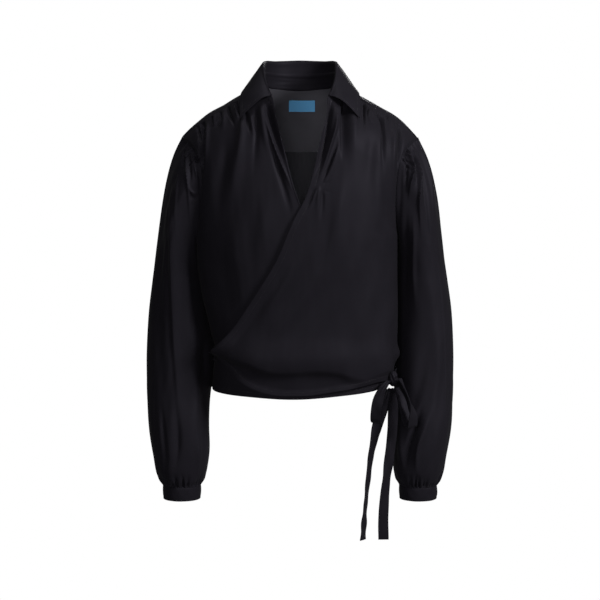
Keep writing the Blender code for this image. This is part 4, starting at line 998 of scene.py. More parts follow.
@dataclass(frozen=True)
class Yoke:
    """The yoke's grid: threads over each shoulder, across the back and down."""

    shoulder_columns: int = 34
    back_columns: int = 150
    rows: int = 44
    thickness: float = 0.0012
    unevenness: float = 0.0007
    wave: Wander = Wander(0.07, 0.05, 41)
    turn_length: float = 0.1

    def plane(self, seams: Seams) -> Line:
        """Slices and turns of the yoke, from the neckline (first row) to its outer edge."""
        form = seams.form
        corner = np.linspace(-seams.front_corner, seams.back_corner, self.shoulder_columns)
        corner_z = seams.armhole_height(np.abs(corner))
        corner_x = seams.armhole_x(corner_z)
        corner_turn = np.sign(corner) * form.turn_of(corner_x, corner_z)
        back_phi, back_z = seams.yoke_back(self.back_columns)
        back_x = form.around(back_phi, back_z)[:, 0]
        back_turn = form.turn_of(back_x, back_z)
        outer_x = np.concatenate([-corner_x, back_x[1:-1], corner_x[::-1]])
        outer_turn = np.concatenate([corner_turn, back_turn[1:-1], corner_turn[::-1]])
        first, last = seams.neck_yoke_angle, seams.neck_shoulder_angle
        shoulder = np.linspace(first, last, self.shoulder_columns)
        half = np.linspace(last, math.pi - last, self.back_columns)
        angle = np.concatenate([shoulder, half[1:-1], math.pi - shoulder[::-1]])
        past = angle > QUARTER
        neck_x, neck_turn = seams.neckline(np.where(past, math.pi - angle, angle))
        neck_x = np.where(past, neck_x, -neck_x)
        share = np.linspace(0.0, 1.0, self.rows)[:, None]
        x = neck_x + (outer_x - neck_x) * share
        turn = neck_turn + (outer_turn - neck_turn) * share
        away = np.arange(x.shape[1])
        for side, place, steps in ((Side.RIGHT, 0, away), (Side.LEFT, -1, away[::-1])):
            seam_x, seam_z = seams.yoke_front(side, share[:, 0])
            weight = 1.0 - smooth(steps / (self.shoulder_columns - 1.0))[None]
            x = x + (seam_x - x[:, place])[:, None] * weight
            turn = turn + (-form.turn_of(seam_x, seam_z) - turn[:, place])[:, None] * weight
        return x, turn


@dataclass(frozen=True)
class Bodice:
    """Both fronts, the back and the yoke.

    The over front lies off the body by the lift, which is whole at a reach from its side seam.
    Its troughs keep a clearance where it covers the under front, which lies flat where it is
    hidden.  Free edge, corner and hem flare; a pouch of cloth hangs over the tie at the left
    side.  Each Ramp ending in _down goes by height, and each ending in _round by angle.
    """

    seams: Seams
    tie: WaistTie
    # Materials of the inner sides of the yoke and back: lightened satin, painted light for the little light
    # that reaches inside.
    yoke_inside: Material
    back_inside: Material
    band: HemBand = HemBand()
    sewn: tuple[tuple[Edge, float], ...] = ((Edge.TOP, 0.0026), (Edge.END, 0.005))
    lift: float = 0.0036
    lift_down: Ramp = Ramp(-0.09, -0.09)
    lift_reach: float = 0.055
    lift_reach_above: float = 0.143
    waist: Ramp = Ramp(-0.435, 0.10)
    trough: float = 0.0050
    trough_above: float = 0.0110
    crossing: Ramp = Ramp(-0.195, 0.04)
    covers: float = 0.010
    covers_down: Ramp = Ramp(-0.12, -0.05)
    clearance: float = 0.0013
    least_trough: float = 0.0002
    hidden: float = 0.10
    hidden_down: Ramp = Ramp(-0.175, -0.03)
    flare: float = 0.0036
    flare_reach: float = 0.020
    flare_down: Ramp = Ramp(-0.200, -0.05)
    corner_flare: float = 0.0060
    corner_reach: float = 0.045
    hem_flare: float = 0.0034
    hem_reach: float = 0.016
    in_front: Ramp = Ramp(QUARTER, -0.25)
    pouch: Bell = Bell(-0.470, 0.012, 0.0065)
    pouch_round: Ramp = Ramp(1.0, 0.4)
    tie_reach: float = 0.0162
    tied_round: Ramp = Ramp(-0.9, -0.1)

    def lying(self, panel: Front | Back) -> tuple[Array, Array, Array, Array]:
        """Angles, heights, points and normals of a panel that lies on the body."""
        form = self.seams.form
        phi, z = np.moveaxis(panel.plane(self.seams), -1, 0)
        return phi, z, form.around(phi, z), form.normals(form.around, phi, z)

    def deepest(self, z: Array) -> Array:
        """Depth that no trough of a front goes past: more above the crossing."""
        return self.trough + self.trough_above * self.crossing.at(z)

    def folded(self, front: Front, x: Array, z: Array, points: Array) -> Array:
        """Height of a front's folds and unevenness, none at its sewn edges."""
        height = fold_height(front.folds, x, z) + front.uneven(x, z)
        return height * seam_fade(points, dict(self.sewn))

    def finished(self, front: Front, points: Array, height: Array, outward: Array) -> ClothPiece:
        """Raise a front and band its free edge and hem."""
        for edge in (Edge.START, Edge.BOTTOM):
            height = height + self.band.at(edge_distance(points, edge))
        height = height + seam_sink(points, dict(self.sewn))
        return ClothPiece(front.name, front.node, raised(points, height, outward), FORWARD)

    def over(self, front: Front, roll: Roll, under: Front) -> ClothPiece:
        """Front that lies outside.

        Args:
            front: The wearer's left front.
            roll: Roll of cloth that blouses over the hem.
            under: The front that it lies on.

        Returns:
            The piece, ready to be laid.
        """
        phi, z, points, outward = self.lying(front)
        x = points[..., 0]
        reach = self.lift_reach + (self.lift_reach_above - self.lift_reach) * self.waist.at(z)
        from_side = edge_distance(points, Edge.END)
        lift = self.lift * self.lift_down.at(z) * smooth(from_side / reach)
        under_x = np.interp(-z, -column(under.edge, "z"), -column(under.edge, "x"))
        covered = smooth((under_x + self.covers - x) / self.covers) * self.covers_down.at(z)
        deepest = self.deepest(z)
        free = np.maximum(lift - self.clearance, self.least_trough)
        floor = deepest + (free - deepest) * covered
        height = shallow(self.folded(front, x, z, points), floor)
        corner = self.corner_flare * bump(z - front.edge[-1].z, self.corner_reach)
        flare = (self.flare + corner) * near_edge(points, Edge.START, self.flare_reach)
        flare = flare * self.flare_down.at(z)
        hem = self.hem_flare * near_edge(points, Edge.BOTTOM, self.hem_reach)
        pouch = self.pouch.at(z) * self.pouch_round.at(phi)
        in_front = self.in_front.at(phi)
        height = height + lift + flare + roll.at(x, z) * in_front + pouch + hem * in_front
        return self.finished(front, points, height, outward)

    def under(self, front: Front, over: Front) -> ClothPiece:
        """Front that goes on under the other.

        Args:
            front: The wearer's right front.
            over: The front that lies on it.

        Returns:
            The piece, ready to be laid.
        """
        phi, z, points, outward = self.lying(front)
        over_x, over_z = column(over.edge, "x"), column(over.edge, "z")
        edge_angle = np.interp(-z, -over_z, self.seams.form.angle_of(over_x, over_z))
        covered = smooth((phi - edge_angle + self.hidden) / self.hidden) * self.hidden_down.at(z)
        tied = bump(z - self.tie.height(phi), self.tie_reach) * self.tied_round.at(phi)
        height = shallow(self.folded(front, points[..., 0], z, points), self.deepest(z))
        return self.finished(front, points, height * (1.0 - covered) * (1.0 - tied), outward)

    def back(self, back: Back) -> ClothPiece:
        """Back, from the yoke's seam and both armholes to the hem."""
        phi, z, points, outward = self.lying(back)
        from_tie = z - self.tie.height(phi - ROUND)
        tied = bump(from_tie, self.tie_reach)
        height = back.height(points, phi, from_tie) * (1.0 - tied) - back.dent * tied
        sewn = dict(back.sewn)
        height = height * seam_fade(points, sewn) + seam_sink(points, sewn)
        height = height + self.band.at(edge_distance(points, Edge.BOTTOM))
        points = raised(points, height, outward)
        return ClothPiece("back", "back_panel", points, BACKWARD, inside=self.back_inside)

    def yoke(self, yoke: Yoke) -> ClothPiece:
        """Yoke across the back and over both shoulders."""
        form = self.seams.form
        x, turn = yoke.plane(self.seams)
        points, outward = form.over(x, turn), form.normals(form.over, x, turn)
        height = seam_sink(points, (Edge.BOTTOM, Edge.START, Edge.END))
        height = height + yoke.unevenness * yoke.wave.at(x, turn * yoke.turn_length)
        return ClothPiece(
            "yoke", "back_yoke", raised(points, height, outward), UP + 0.4 * BACKWARD,
            Held.LAID, (), yoke.thickness, inside=self.yoke_inside,
        )


# ---- sleeves
@dataclass(frozen=True)
class SleeveForm:
    """Smooth tube of both sleeves.

    The cap leaves the armhole out and down, by parts for its top, its sides and below, and
    comes in from the sides at the first whole ring.
    """

    seams: Seams
    rows: tuple[SleeveRow, ...] = rows_of(
        SleeveRow,
        (0.34, 0.259, 0.168, 0.169, 0.02, 0.065), (0.4, 0.266, 0.1605, 0.1695, 0.021, 0.0645),
        (0.46, 0.27, 0.1505, 0.169, 0.018, 0.064), (0.5, 0.271, 0.1535, 0.1685, 0.014, 0.064),
        (0.54, 0.2705, 0.158, 0.168, 0.007, 0.062), (0.6, 0.2655, 0.16, 0.1655, -0.007, 0.058),
        (0.65, 0.257, 0.16, 0.163, -0.015, 0.051), (0.685, 0.2505, 0.1655, 0.165, -0.0185, 0.043),
        (0.697, 0.246, 0.169, 0.169, -0.0195, 0.038), (0.702, 0.2415, 0.1737, 0.1737, -0.02, 0.0335),
    )
    power: float = 2.1
    cap_end: float = -0.34
    end: float = -0.702
    leave_out: Triple = (0.50, 0.80, -0.02)
    leave_down: Triple = (0.87, 0.50, 0.99)
    leave_forward: float = 0.25
    leave_strength: float = 0.8
    arrive_spread: float = 0.13

    def ring(self, side: Side, turn: Array, z: Array) -> Array:
        """Point of the tube at a part of a turn from its outer side by the front."""
        names = ("outer", f"inner_{side.name.lower()}", "middle_y", "depth")
        outer, inner, middle_y, depth = (table(self.rows, "drop", name, -z) for name in names)
        sine, cosine = np.sin(ROUND * turn), np.cos(ROUND * turn)
        square = squared(sine, cosine, self.power)
        x = (outer + inner) / 2.0 + (outer - inner) / 2.0 * cosine * square
        return stacked(side.value * x, middle_y - depth * sine * square, z)

    def cap(self, side: Side, turn: Array, share: float) -> Array:
        """Point between the armhole seam (share 0) and the first whole ring (share 1)."""
        armhole = self.seams.armhole_points(side, turn)
        sine, cosine = np.sin(ROUND * turn), np.cos(ROUND * turn)
        parts = (np.maximum(cosine, 0.0) ** 2, sine**2, np.maximum(-cosine, 0.0) ** 2)
        out, down = (
            sum(much * part for much, part in zip(way, parts))
            for way in (self.leave_out, self.leave_down)
        )
        ring = self.ring(side, turn, np.full(turn.shape, self.cap_end))
        reach = np.linalg.norm(ring - armhole, axis=-1, keepdims=True)
        away = unit(stacked(side.value * out, -self.leave_forward * sine, -down))
        spread = side.value * self.arrive_spread * cosine
        arrive = reach * unit(stacked(spread, 0.0, -1.0))
        return hermite(share, armhole, ring, self.leave_strength * reach * away, arrive)


@dataclass(frozen=True)
class Sleeve:
    """One long sleeve with gathers at its head and its cuff.

    Attributes:
        folds: Drapes, by turn and height.
        front: Folds of its front half, in front-view places.
        girth: Length that stands for a whole turn.
        crowding: How much closer the threads lie at the outer side.
        start_crowding: How much closer the rows lie at the armhole.
        front_edge: Width of the change from the front half to the back one.
        flattening: How level its normals turn over the flat end.
        head_bias: How far inwards the middle of the armhole's rings is taken.
    """

    side: Side
    form: SleeveForm
    folds: tuple[Fold, ...]
    head: Gathers
    wrist: Gathers
    seed: int
    front: tuple[Fold, ...]
    columns: int = 248
    cap_rows: int = 76
    tube_rows: int = 104
    girth: float = 0.36
    crowding: float = 0.45
    start_crowding: float = 1.35
    front_edge: float = 0.30
    flat_end: float = 0.05
    flattening: float = 0.7
    head_bias: float = 0.03
    radius: float = 0.057
    unevenness: Pair = (0.0005, 0.0003)
    drapes_from: float = 0.022
    drapes_to: float = 0.025
    wrist_rise: float = 0.006

    def turns(self) -> Array:
        """Places round the sleeve, closest together at its outer side; the last repeats the first."""
        even = np.linspace(0.0, 1.0, self.columns + 1)
        turn = even - self.crowding / ROUND * np.sin(ROUND * even)
        turn[-1] = 0.0
        return turn

    def tube(self) -> Array:
        """Closed rings from the armhole to the cuff; the last column repeats the first."""
        turn, form = self.turns(), self.form
        shares = np.linspace(0.0, 1.0, self.cap_rows) ** self.start_crowding
        levels = np.linspace(form.cap_end, form.end, self.tube_rows + 1)[1:]
        rows = [form.cap(self.side, turn, share) for share in shares]
        rows += [form.ring(self.side, turn, np.full(turn.shape, level)) for level in levels]
        return np.stack(rows)

    def normals(self, rows: Array) -> Array:
        """Outward normals of closed rings, which turn level at the cuff."""
        ring = rows[:, :-1]
        around = np.roll(ring, -1, axis=1) - np.roll(ring, 1, axis=1)
        normal = unit(np.cross(around, np.gradient(ring, axis=0)))
        middle = ring.mean(axis=1, keepdims=True)
        middle[:2, :, 0] += self.side.value * self.head_bias
        normal = normal * np.sign(np.sum(normal * (ring - middle), axis=-1, keepdims=True))
        normal = np.concatenate([normal, normal[:, :1]], axis=1)
        flat = 1.0 - Ramp(self.form.end, self.flat_end).at(rows[..., 2:])
        return unit(normal * (1.0 - flat * self.flattening * UP))

    def height(self, rows: Array) -> Array:
        """Height of drapes, gathers and unevenness above the tube."""
        turn = self.turns()[None] + np.zeros((len(rows), 1))
        z, from_armhole = rows[..., 2], lengths(rows, 0)
        above_cuff = from_armhole[-1:] - from_armhole
        across = turn * self.girth
        rolled = [
            one._replace(path=tuple((part * self.girth, height) for part, height in one.path))
            for one in self.folds
        ]
        drapes = sum(fold_height(rolled, across + k * self.girth, z) for k in (-1, 0, 1))
        angle = ROUND * turn
        u, v = self.radius * np.cos(angle), self.radius * np.sin(angle)
        in_front = smooth(np.sin(angle) / self.front_edge)
        drapes = drapes + fold_height(self.front, rows[..., 0], z) * in_front
        broad = Wander(0.09, 0.22, self.seed).at(u + 0.5 * v, z + 0.3 * v)
        streaks = Wander(0.030, 0.17, self.seed + 1).at(u - 0.7 * v, z + 0.5 * u)
        drapes = drapes + self.unevenness[0] * broad + self.unevenness[1] * streaks
        drapes = drapes * smooth(from_armhole / self.drapes_from) * smooth(above_cuff / self.drapes_to)
        head = self.head.at(((turn + 0.5) % 1.0 - 0.5) * self.girth, from_armhole)
        return drapes + head + self.wrist.at(across, above_cuff) * smooth(above_cuff / self.wrist_rise)

    def piece(self) -> ClothPiece:
        """The sleeve, ready to be laid."""
        rows = self.tube()
        normal = self.normals(rows)
        outside = normal[rows.shape[0] // 2, rows.shape[1] // 2]
        side = self.side.name.lower()
        points = raised(rows, self.height(rows), normal)
        return ClothPiece(f"{side}_sleeve", f"sleeve_{side}", points, outside, Held.HUNG, closed=True)


@dataclass(frozen=True)
class Cuff:
    """Plain closed band at a wrist."""

    side: Side
    seed: int
    columns: int = 150
    rows: int = 18
    top: float = -0.7018
    bottom: float = -0.7265
    top_radius: float = 0.0335
    bottom_radius: float = 0.0328
    centre: Pair = (0.20755, -0.0200)
    thickness: float = 0.0016
    bulge: float = 0.0004
    seam: Bell = Bell(0.0, 0.0022, 0.0006)
    stitches: Bell = Bell(0.0035, 0.0009, 0.0003)
    unevenness: float = 0.0003

    def piece(self) -> ClothPiece:
        """The cuff, ready to be laid; its grid's last column repeats the first."""
        turn = np.linspace(0.0, ROUND, self.columns + 1)
        turn[-1] = 0.0
        level = np.linspace(self.top, self.bottom, self.rows)[:, None]
        share = (self.top - level) / (self.top - self.bottom)
        radius = self.top_radius + (self.bottom_radius - self.top_radius) * share
        radius = radius + self.bulge * np.sin(math.pi * share) - self.seam.at(self.top - level)
        radius = radius - self.stitches.at(level - self.bottom)
        radius = radius + self.unevenness * Wander(0.9, 0.03, self.seed).at(np.cos(turn)[None], level)
        outward = stacked(self.side.value * np.cos(turn), -np.sin(turn), 0.0)
        centre = np.array([self.side.value * self.centre[0], self.centre[1], 0.0])
        points = centre + radius[..., None] * outward[None]
        points[..., 2] += level
        side = self.side.name.lower()
        return ClothPiece(
            f"{side}_cuff", f"cuff_{side}", points, outward[len(turn) // 2],
            Held.GATHERED, (f"{side}_sleeve",), self.thickness, closed=True,
        )


# ---- collar
@dataclass(frozen=True)
class Collar:
    """Stand and fall of the shirt collar.

    The bend gives the fold's start, top and outer side in radii out and up; past it each leaf
    runs to its edge through stations at the leaf shares, with a belly.  Dents of the stand go
    by its share of height, and wave and groove are those of the leaves.
    """

    seams: Seams
    rows: tuple[CollarRow, ...] = rows_of(
        CollarRow,
        (-0.3, 128.0, 0.048, 0.001, -0.06, 0.48, 0.0085), (0.0, 90.0, 0.052, 0.0, 0.0, 0.6, 0.01),
        (0.3, 52.0, 0.048, 0.001, 0.06, 0.48, 0.0085),
        (0.43, 33.0, 0.0453, 0.0018, 0.081, 0.32, 0.0066),
        (0.55, 15.0, 0.039, 0.004, 0.0945, 0.14, 0.005),
        (0.72, -8.0, 0.029, 0.0065, 0.0975, -0.1, 0.005),
        (0.86, -26.5, 0.0155, 0.003, 0.099, -0.36, 0.0065),
        (1.0, -42.5, 0.0016, -0.001, 0.098, -0.645, 0.007),
    )
    columns: int = 220
    stand_rows: int = 16
    fall_rows: int = 54
    stand_thickness: float = 0.0022
    fall_thickness: float = 0.0013
    centre_y: float = 0.010
    foot_lift: float = 0.0006
    stand_share: float = 0.55
    foot_dent: Bell = Bell(0.08, 0.05, 0.0005)
    top_dent: Bell = Bell(0.88, 0.10, 0.0016)
    creases: Wander = Wander(0.12, 0.009, 62)
    crease_height: float = 0.0003
    fold_radius: float = 0.0030
    sharper: float = 0.55
    points_from: Ramp = Ramp(0.7, 0.3)
    bend: tuple[Pair, ...] = ((0.0, -0.6), (1.0, 0.2), (2.0, -0.9))
    belly: float = 0.0062
    belly_power: int = 4
    belly_skew: float = 0.7
    leaf_shares: tuple[float, ...] = (0.1, 0.22, 0.36, 0.52, 0.68, 0.84, 1.0)
    wave: Wander = Wander(0.10, 0.05, 61)
    wave_height: float = 0.0004
    wave_fade: float = 0.02
    stitch_inset: float = 0.0055
    leaf_row: int = 26
    groove: Bell = Bell(0.0055, 0.0009, 0.00035)

    def lines(self) -> tuple[Array, Array, Array, Array]:
        """Foot, crest, outer edge and direction away from the neck, right end to left end."""
        form = self.seams.form
        along = np.linspace(-1.0, 1.0, self.columns)
        side = np.sign(along)
        value = {name: table(self.rows, "along", name, np.abs(along)) for name in CollarRow._fields}
        neck_x, neck_turn = self.seams.neckline(np.radians(value["angle"]))
        foot = form.over(side * neck_x, neck_turn)
        foot = foot + self.foot_lift * form.normals(form.over, side * neck_x, neck_turn)
        away = unit((foot - self.centre_y * BACKWARD) * LEVEL)
        crest = foot + value["rise"][:, None] * UP - value["lean"][:, None] * away
        edge_place = side * value["edge_x"], value["edge_turn"]
        edge_normal = form.normals(form.over, *edge_place)
        edge = form.over(*edge_place) + value["edge_lift"][:, None] * edge_normal
        return foot, crest, edge, away

    def stand(self) -> ClothPiece:
        """Upright band round the neck."""
        foot, crest, _, away = self.lines()
        share = np.linspace(0.0, 1.0, self.stand_rows)[:, None, None]
        points = foot + (crest - foot) * self.stand_share * share
        points = points - (self.foot_dent.at(share) + self.top_dent.at(share)) * away[None]
        creases = self.creases.at(points[..., 0], points[..., 2])[..., None]
        points = points + self.crease_height * creases * np.sin(math.pi * share) * away[None]
        return ClothPiece(
            "stand_of_collar", "collar_stand", points, BACKWARD,
            Held.STRETCHED, thickness=self.stand_thickness,
        )

    def fall(self) -> ClothPiece:
        """Part that rises from the stand, folds over and ends in the points."""
        foot, crest, edge, away = self.lines()
        along = np.linspace(-1.0, 1.0, self.columns)
        ends = self.points_from.at(np.abs(along))[:, None]
        radius = self.fold_radius * (1.0 - self.sharper * ends)
        stand_top = foot + (crest - foot) * self.stand_share
        bend = [crest + out * radius * away + up * radius * UP for out, up in self.bend]
        profile = [stand_top, (stand_top + bend[0]) / 2.0, *bend]
        belly = self.belly * along[:, None] ** self.belly_power * unit(away + UP)
        for share in self.leaf_shares:
            swell = math.sin(math.pi * share**self.belly_skew)
            profile.append(bend[-1] + (edge - bend[-1]) * share + belly * swell)
        stations = np.stack(profile)
        knots = lengths(stations, 0).mean(axis=1)
        at = np.linspace(0.0, knots[-1], self.fall_rows)
        shape = stations.reshape(len(stations), -1)
        points = np.stack([curve(knots, way, at) for way in shape.T], axis=-1)
        points = points.reshape(self.fall_rows, self.columns, 3)
        outside = BACKWARD + 0.6 * UP
        normal = grid_normals(points, outside)
        top, outer = knots[3:5]
        height = self.wave_height * self.wave.at(points[..., 0] + points[..., 1], points[..., 2])
        height = height * Ramp(outer, self.wave_fade).at(at)[:, None]
        edges = (Edge.START, Edge.END, Edge.BOTTOM)
        groove = sum(self.groove.at(edge_distance(points, edge)) for edge in edges)
        points = raised(points, height - groove * (at > top)[:, None], normal)
        return ClothPiece(
            "fall_of_collar", "collar_fall", points, outside,
            Held.FOLDED, ("stand_of_collar",), self.fall_thickness,
        )


# ---- label
@dataclass(frozen=True)
class NeckLabel:
    """Blank woven label inside the back yoke."""

    seams: Seams
    finish: Material
    width: float = 0.047
    centre_x: float = 0.0035
    top: float = -0.0280
    bottom: float = -0.0480
    thickness: float = 0.0006
    inset: float = 0.0026
    puff: float = 0.0006
    hang: float = 0.6
    selvedge: float = 0.00025
    selvedge_widths: Pair = (0.05, 0.10)
    rows: int = 30
    columns: int = 64

    def piece(self) -> ClothPiece:
        """The label a hair off the inside of the yoke, ready to be laid."""
        form = self.seams.form
        across = self.centre_x + self.width * np.linspace(-0.5, 0.5, self.columns)
        x, z = np.meshgrid(across, np.linspace(self.top, self.bottom, self.rows))
        turn = form.turn_of(x, z)
        share_x = (x - self.centre_x) / self.width * 2.0
        share_z = (z - self.bottom) / (self.top - self.bottom) * 2.0 - 1.0
        rise = self.puff * (1.0 - share_x**2) * (1.0 - self.hang * share_z**2)
        sides = zip((share_x, share_z), self.selvedge_widths)
        edge = self.selvedge * sum(bump(1.0 - np.abs(share), width) for share, width in sides)
        points = raised(form.over(x, turn), -(self.inset + rise + edge), form.normals(form.over, x, turn))
        return ClothPiece(
            "blank_neck_label", "neck_label", points, FORWARD + 0.2 * UP,
            Held.LAID, thickness=self.thickness, slot=LABEL_SLOT, finish=self.finish,
        )


# ---- tie and bow
@dataclass(frozen=True)
class WaistTie:
    """Flat tie from the over front's corner round the back to the knot.

    It rises at its end, over the cloth by the knot; girth is the length that stands for a
    radian in its wrinkles.
    """

    form: BodyForm
    route: tuple[TieRow, ...] = rows_of(
        TieRow,
        (-74.5, -0.4745), (-90.0, -0.476), (-130.0, -0.483), (-180.0, -0.492), (-230.0, -0.5),
        (-270.0, -0.504), (-286.0, -0.506),
    )
    width: float = 0.018
    thickness: float = 0.0014
    lift: float = 0.0024
    rise: float = 0.0036
    rise_round: Ramp = Ramp(math.radians(-270.0), -0.20)
    girth: float = 0.13
    wrinkles: tuple[Wander, Wander] = (Wander(0.05, 0.012, 71), Wander(0.018, 0.03, 72))
    wrinkle_heights: Pair = (0.00045, 0.0004)
    edge: Bell = Bell(0.0, 0.0012, 0.0003)
    columns: int = 260
    rows: int = 10

    def height(self, phi: Array) -> Array:
        """Height of the tie's middle at an angle round the body."""
        stops = np.radians(column(self.route, "angle"))[::-1]
        turned = np.where(phi > stops[-1], phi - ROUND, phi)
        return curve(stops, column(self.route, "z")[::-1], turned)

    def piece(self) -> ClothPiece:
        """The tie round the waist, ready to be laid."""
        around = np.linspace(*np.radians(column(self.route, "angle")[[0, -1]]), self.columns)
        phi, offset = np.meshgrid(around, self.width * np.linspace(0.5, -0.5, self.rows))
        z = self.height(phi) + offset
        wrinkle = sum(
            height * wave.at(phi * self.girth, offset)
            for height, wave in zip(self.wrinkle_heights, self.wrinkles)
        )
        edge = self.edge.at(np.abs(offset) - self.width / 2.0)
        rise = self.lift + self.rise * self.rise_round.at(phi) + wrinkle + edge
        outward = self.form.normals(self.form.around, phi, z)
        points = raised(self.form.around(phi, z), rise, outward)
        outside = points[self.rows // 2, self.columns // 2] * LEVEL
        return ClothPiece(
            "waist_tie", "tie_wrap", points, outside, Held.STRETCHED, ("back",), self.thickness
        )


@dataclass(frozen=True)
class Strip:
    """Flat strip of the bow along a route, laid across an axis and twisted about its line.

    Attributes:
        axis: Direction that it lies across.
        route: Points of its middle line.
        pleats: Pleats across it where it is drawn together.
    """

    name: str
    node: str
    axis: Triple
    seed: int
    route: tuple[StripRow, ...]
    width: float = 0.018
    thickness: float = 0.0014
    rows: int = 120
    columns: int = 12
    pleats: float = 2.5
    pleat_height: float = 0.0016
    wave_height: float = 0.0005

    def grid(self) -> Array:
        """Points of the middle of the strip, row by row along the route."""
        route = np.stack([column(self.route, part) for part in "xyz"], axis=-1)
        share = np.linspace(0.0, 1.0, self.rows)
        own = run_length(route) / run_length(route)[-1]
        line = along_line(route, share)
        twist = np.radians(curve(own, column(self.route, "twist"), share))[:, None]
        full = curve(own, column(self.route, "width"), share)[:, None]
        forward = unit(np.gradient(line, axis=0))
        axis = np.array(self.axis)
        flat = unit(axis - (forward @ axis)[:, None] * forward)
        across = np.cos(twist) * flat + np.sin(twist) * np.cross(forward, flat)
        normal = unit(np.cross(forward, across))
        offset = np.linspace(-0.5, 0.5, self.columns)[None, :]
        pleat = (1.0 - full) * np.cos(ROUND * self.pleats * offset + self.seed)
        down = (share * run_length(line)[-1])[:, None]
        wave = Wander(0.03, 0.05, self.seed).at(offset * self.width, down)
        height = self.pleat_height * pleat + self.wave_height * wave
        side = (offset * full * self.width)[..., None] * across[:, None]
        return raised(line[:, None] + side, height, normal[:, None])

    def piece(self) -> ClothPiece:
        """The strip, ready to be laid, with its middle on the route."""
        middle = self.grid()
        outside = facing(middle)
        points = middle + self.thickness / 2.0 * grid_normals(middle, outside)
        return ClothPiece(
            self.name, self.node, points, outside,
            Held.HUNG, ("knot_of_bow",), self.thickness, middle=middle,
        )


def strip(name: str, node: str, axis: Triple, seed: int, *route: tuple[float, ...]) -> Strip:
    """Strip from its settings and the rows of its route."""
    return Strip(name, node, axis, seed, rows_of(StripRow, *route))


@dataclass(frozen=True)
class Knot:
    """Knot of the bow: a squeezed ball with the ridges of the wrapped tie."""

    centre: Triple = (0.1605, -0.0610, -0.5095)
    half: Triple = (0.0092, 0.0088, 0.0135)
    segments: int = 72
    rings: int = 48
    narrowing: float = 0.18
    ridges: tuple[Triple, ...] = ((0.09, 9.0, 5.0), (0.10, -3.0, 7.5))
    uv_size: float = 0.05
    crease: float = math.radians(60.0)

    def tie(self, tailor: Tailor) -> None:
        """Shape the knot and attach it."""
        bpy.ops.object.select_all(action="DESELECT")
        bpy.ops.mesh.primitive_uv_sphere_add(segments=self.segments, ring_count=self.rings, radius=1.0)
        made = bpy.context.object
        made.name = made.data.name = "knot_of_bow"
        mesh = made.data
        flat = np.empty(len(mesh.vertices) * 3)
        mesh.vertices.foreach_get("co", flat)
        ball = flat.reshape(-1, 3)
        x, z = ball[:, 0], ball[:, 2]
        narrowed = 1.0 - self.narrowing * (1.0 - np.abs(z))
        ridges = sum(much * np.sin(across * x + up * z) for much, across, up in self.ridges)
        shaped = ball * np.array(self.half)
        shaped[:, :2] *= (narrowed * (1.0 + ridges * (1.0 - z**2)))[:, None]
        mesh.vertices.foreach_set("co", (shaped + np.array(self.centre)).ravel())
        layer = mesh.uv_layers[0]
        layer.name = UV_NAME
        spread = np.empty(len(layer.data) * 2)
        layer.data.foreach_get("uv", spread)
        layer.data.foreach_set("uv", spread * self.uv_size)
        mesh.update()
        bpy.ops.object.shade_smooth_by_angle(angle=self.crease)
        mesh.materials.append(tailor.finish)
        tailor.attach(made, SATIN_SLOT, "bow_knot")


# ---- finishes
@dataclass(frozen=True)
class Graph:
    """Node tree of a material, a group or the world, filled node by node."""

    tree: Tree

    @classmethod
    def material(cls, name: str, values: dict[str, object]) -> tuple[Material, Graph, Node]:
        """New material, its graph and its shader.

        Args:
            name: Name of the material.
            values: Constants of the shader's inputs.

        Returns:
            The material, its graph and its Principled BSDF.
        """
        made = bpy.data.materials.new(name)
        made.use_nodes = True
        shader = made.node_tree.nodes["Principled BSDF"]
        graph = cls(made.node_tree)
        graph.fill(shader, values, {})
        return made, graph, shader

    def fill(self, node: Node, values: dict, links: dict) -> None:
        """Set constants on a node's inputs and link outputs to others of them."""
        for name, value in values.items():
            node.inputs[name].default_value = value
        for name, output in links.items():
            self.tree.links.new(output, node.inputs[name])

    def add(self, kind: str, values: dict | None = None, links: dict | None = None) -> Node:
        """Add a node.

        Args:
            kind: Type of the node, without "ShaderNode".
            values: Constants of its inputs.
            links: Outputs to link to its inputs.

        Returns:
            The node.
        """
        node = self.tree.nodes.new(f"ShaderNode{kind}")
        self.fill(node, values or {}, links or {})
        return node

    def cloth_place(self) -> Socket:
        """Place on the cloth, in metres, by the piece's own UV map."""
        place = self.add("UVMap")
        place.uv_map = UV_NAME
        return place.outputs["UV"]

    def mix(self, blend: str, values: dict, links: dict) -> Socket:
        """Mix of two colours."""
        node = self.add("Mix")
        node.data_type = "RGBA"
        node.blend_type = blend
        self.fill(node, values, links)
        return node.outputs["Result"]


def crepe_surface() -> Tree:
    """Shared group that turns a place on the cloth into height, tone and roughness."""
    tree = bpy.data.node_groups.new("crepe surface", "ShaderNodeTree")
    sockets = tree.interface.new_socket
    sockets("Vector", in_out="INPUT", socket_type="NodeSocketVector")
    for name in ("Grain Scale", "Roughness"):
        sockets(name, in_out="INPUT", socket_type="NodeSocketFloat")
    for name in ("Height", "Tone", "Roughness"):
        sockets(name, in_out="OUTPUT", socket_type="NodeSocketFloat")
    graph = Graph(tree)
    source, result = (tree.nodes.new(kind) for kind in ("NodeGroupInput", "NodeGroupOutput"))
    place, scale, roughness = (source.outputs[name] for name in ("Vector", "Grain Scale", "Roughness"))
    grain = graph.add("TexNoise", {"Detail": 2.0}, {"Vector": place, "Scale": scale})
    cloud = graph.add("TexNoise", {"Scale": 22.0, "Detail": 3.0}, {"Vector": place}).outputs["Fac"]
    tone = graph.add("MapRange", {"To Min": 0.85, "To Max": 1.15}, {"Value": cloud})
    spread = graph.add("MapRange", {"To Min": -0.05, "To Max": 0.05}, {"Value": cloud})
    total = graph.add("Math", {}, {0: spread.outputs["Result"], 1: roughness})
    total.operation = "ADD"
    outputs = {"Height": grain.outputs["Fac"], "Tone": tone.outputs["Result"]}
    graph.fill(result, {}, outputs | {"Roughness": total.outputs["Value"]})
    return tree


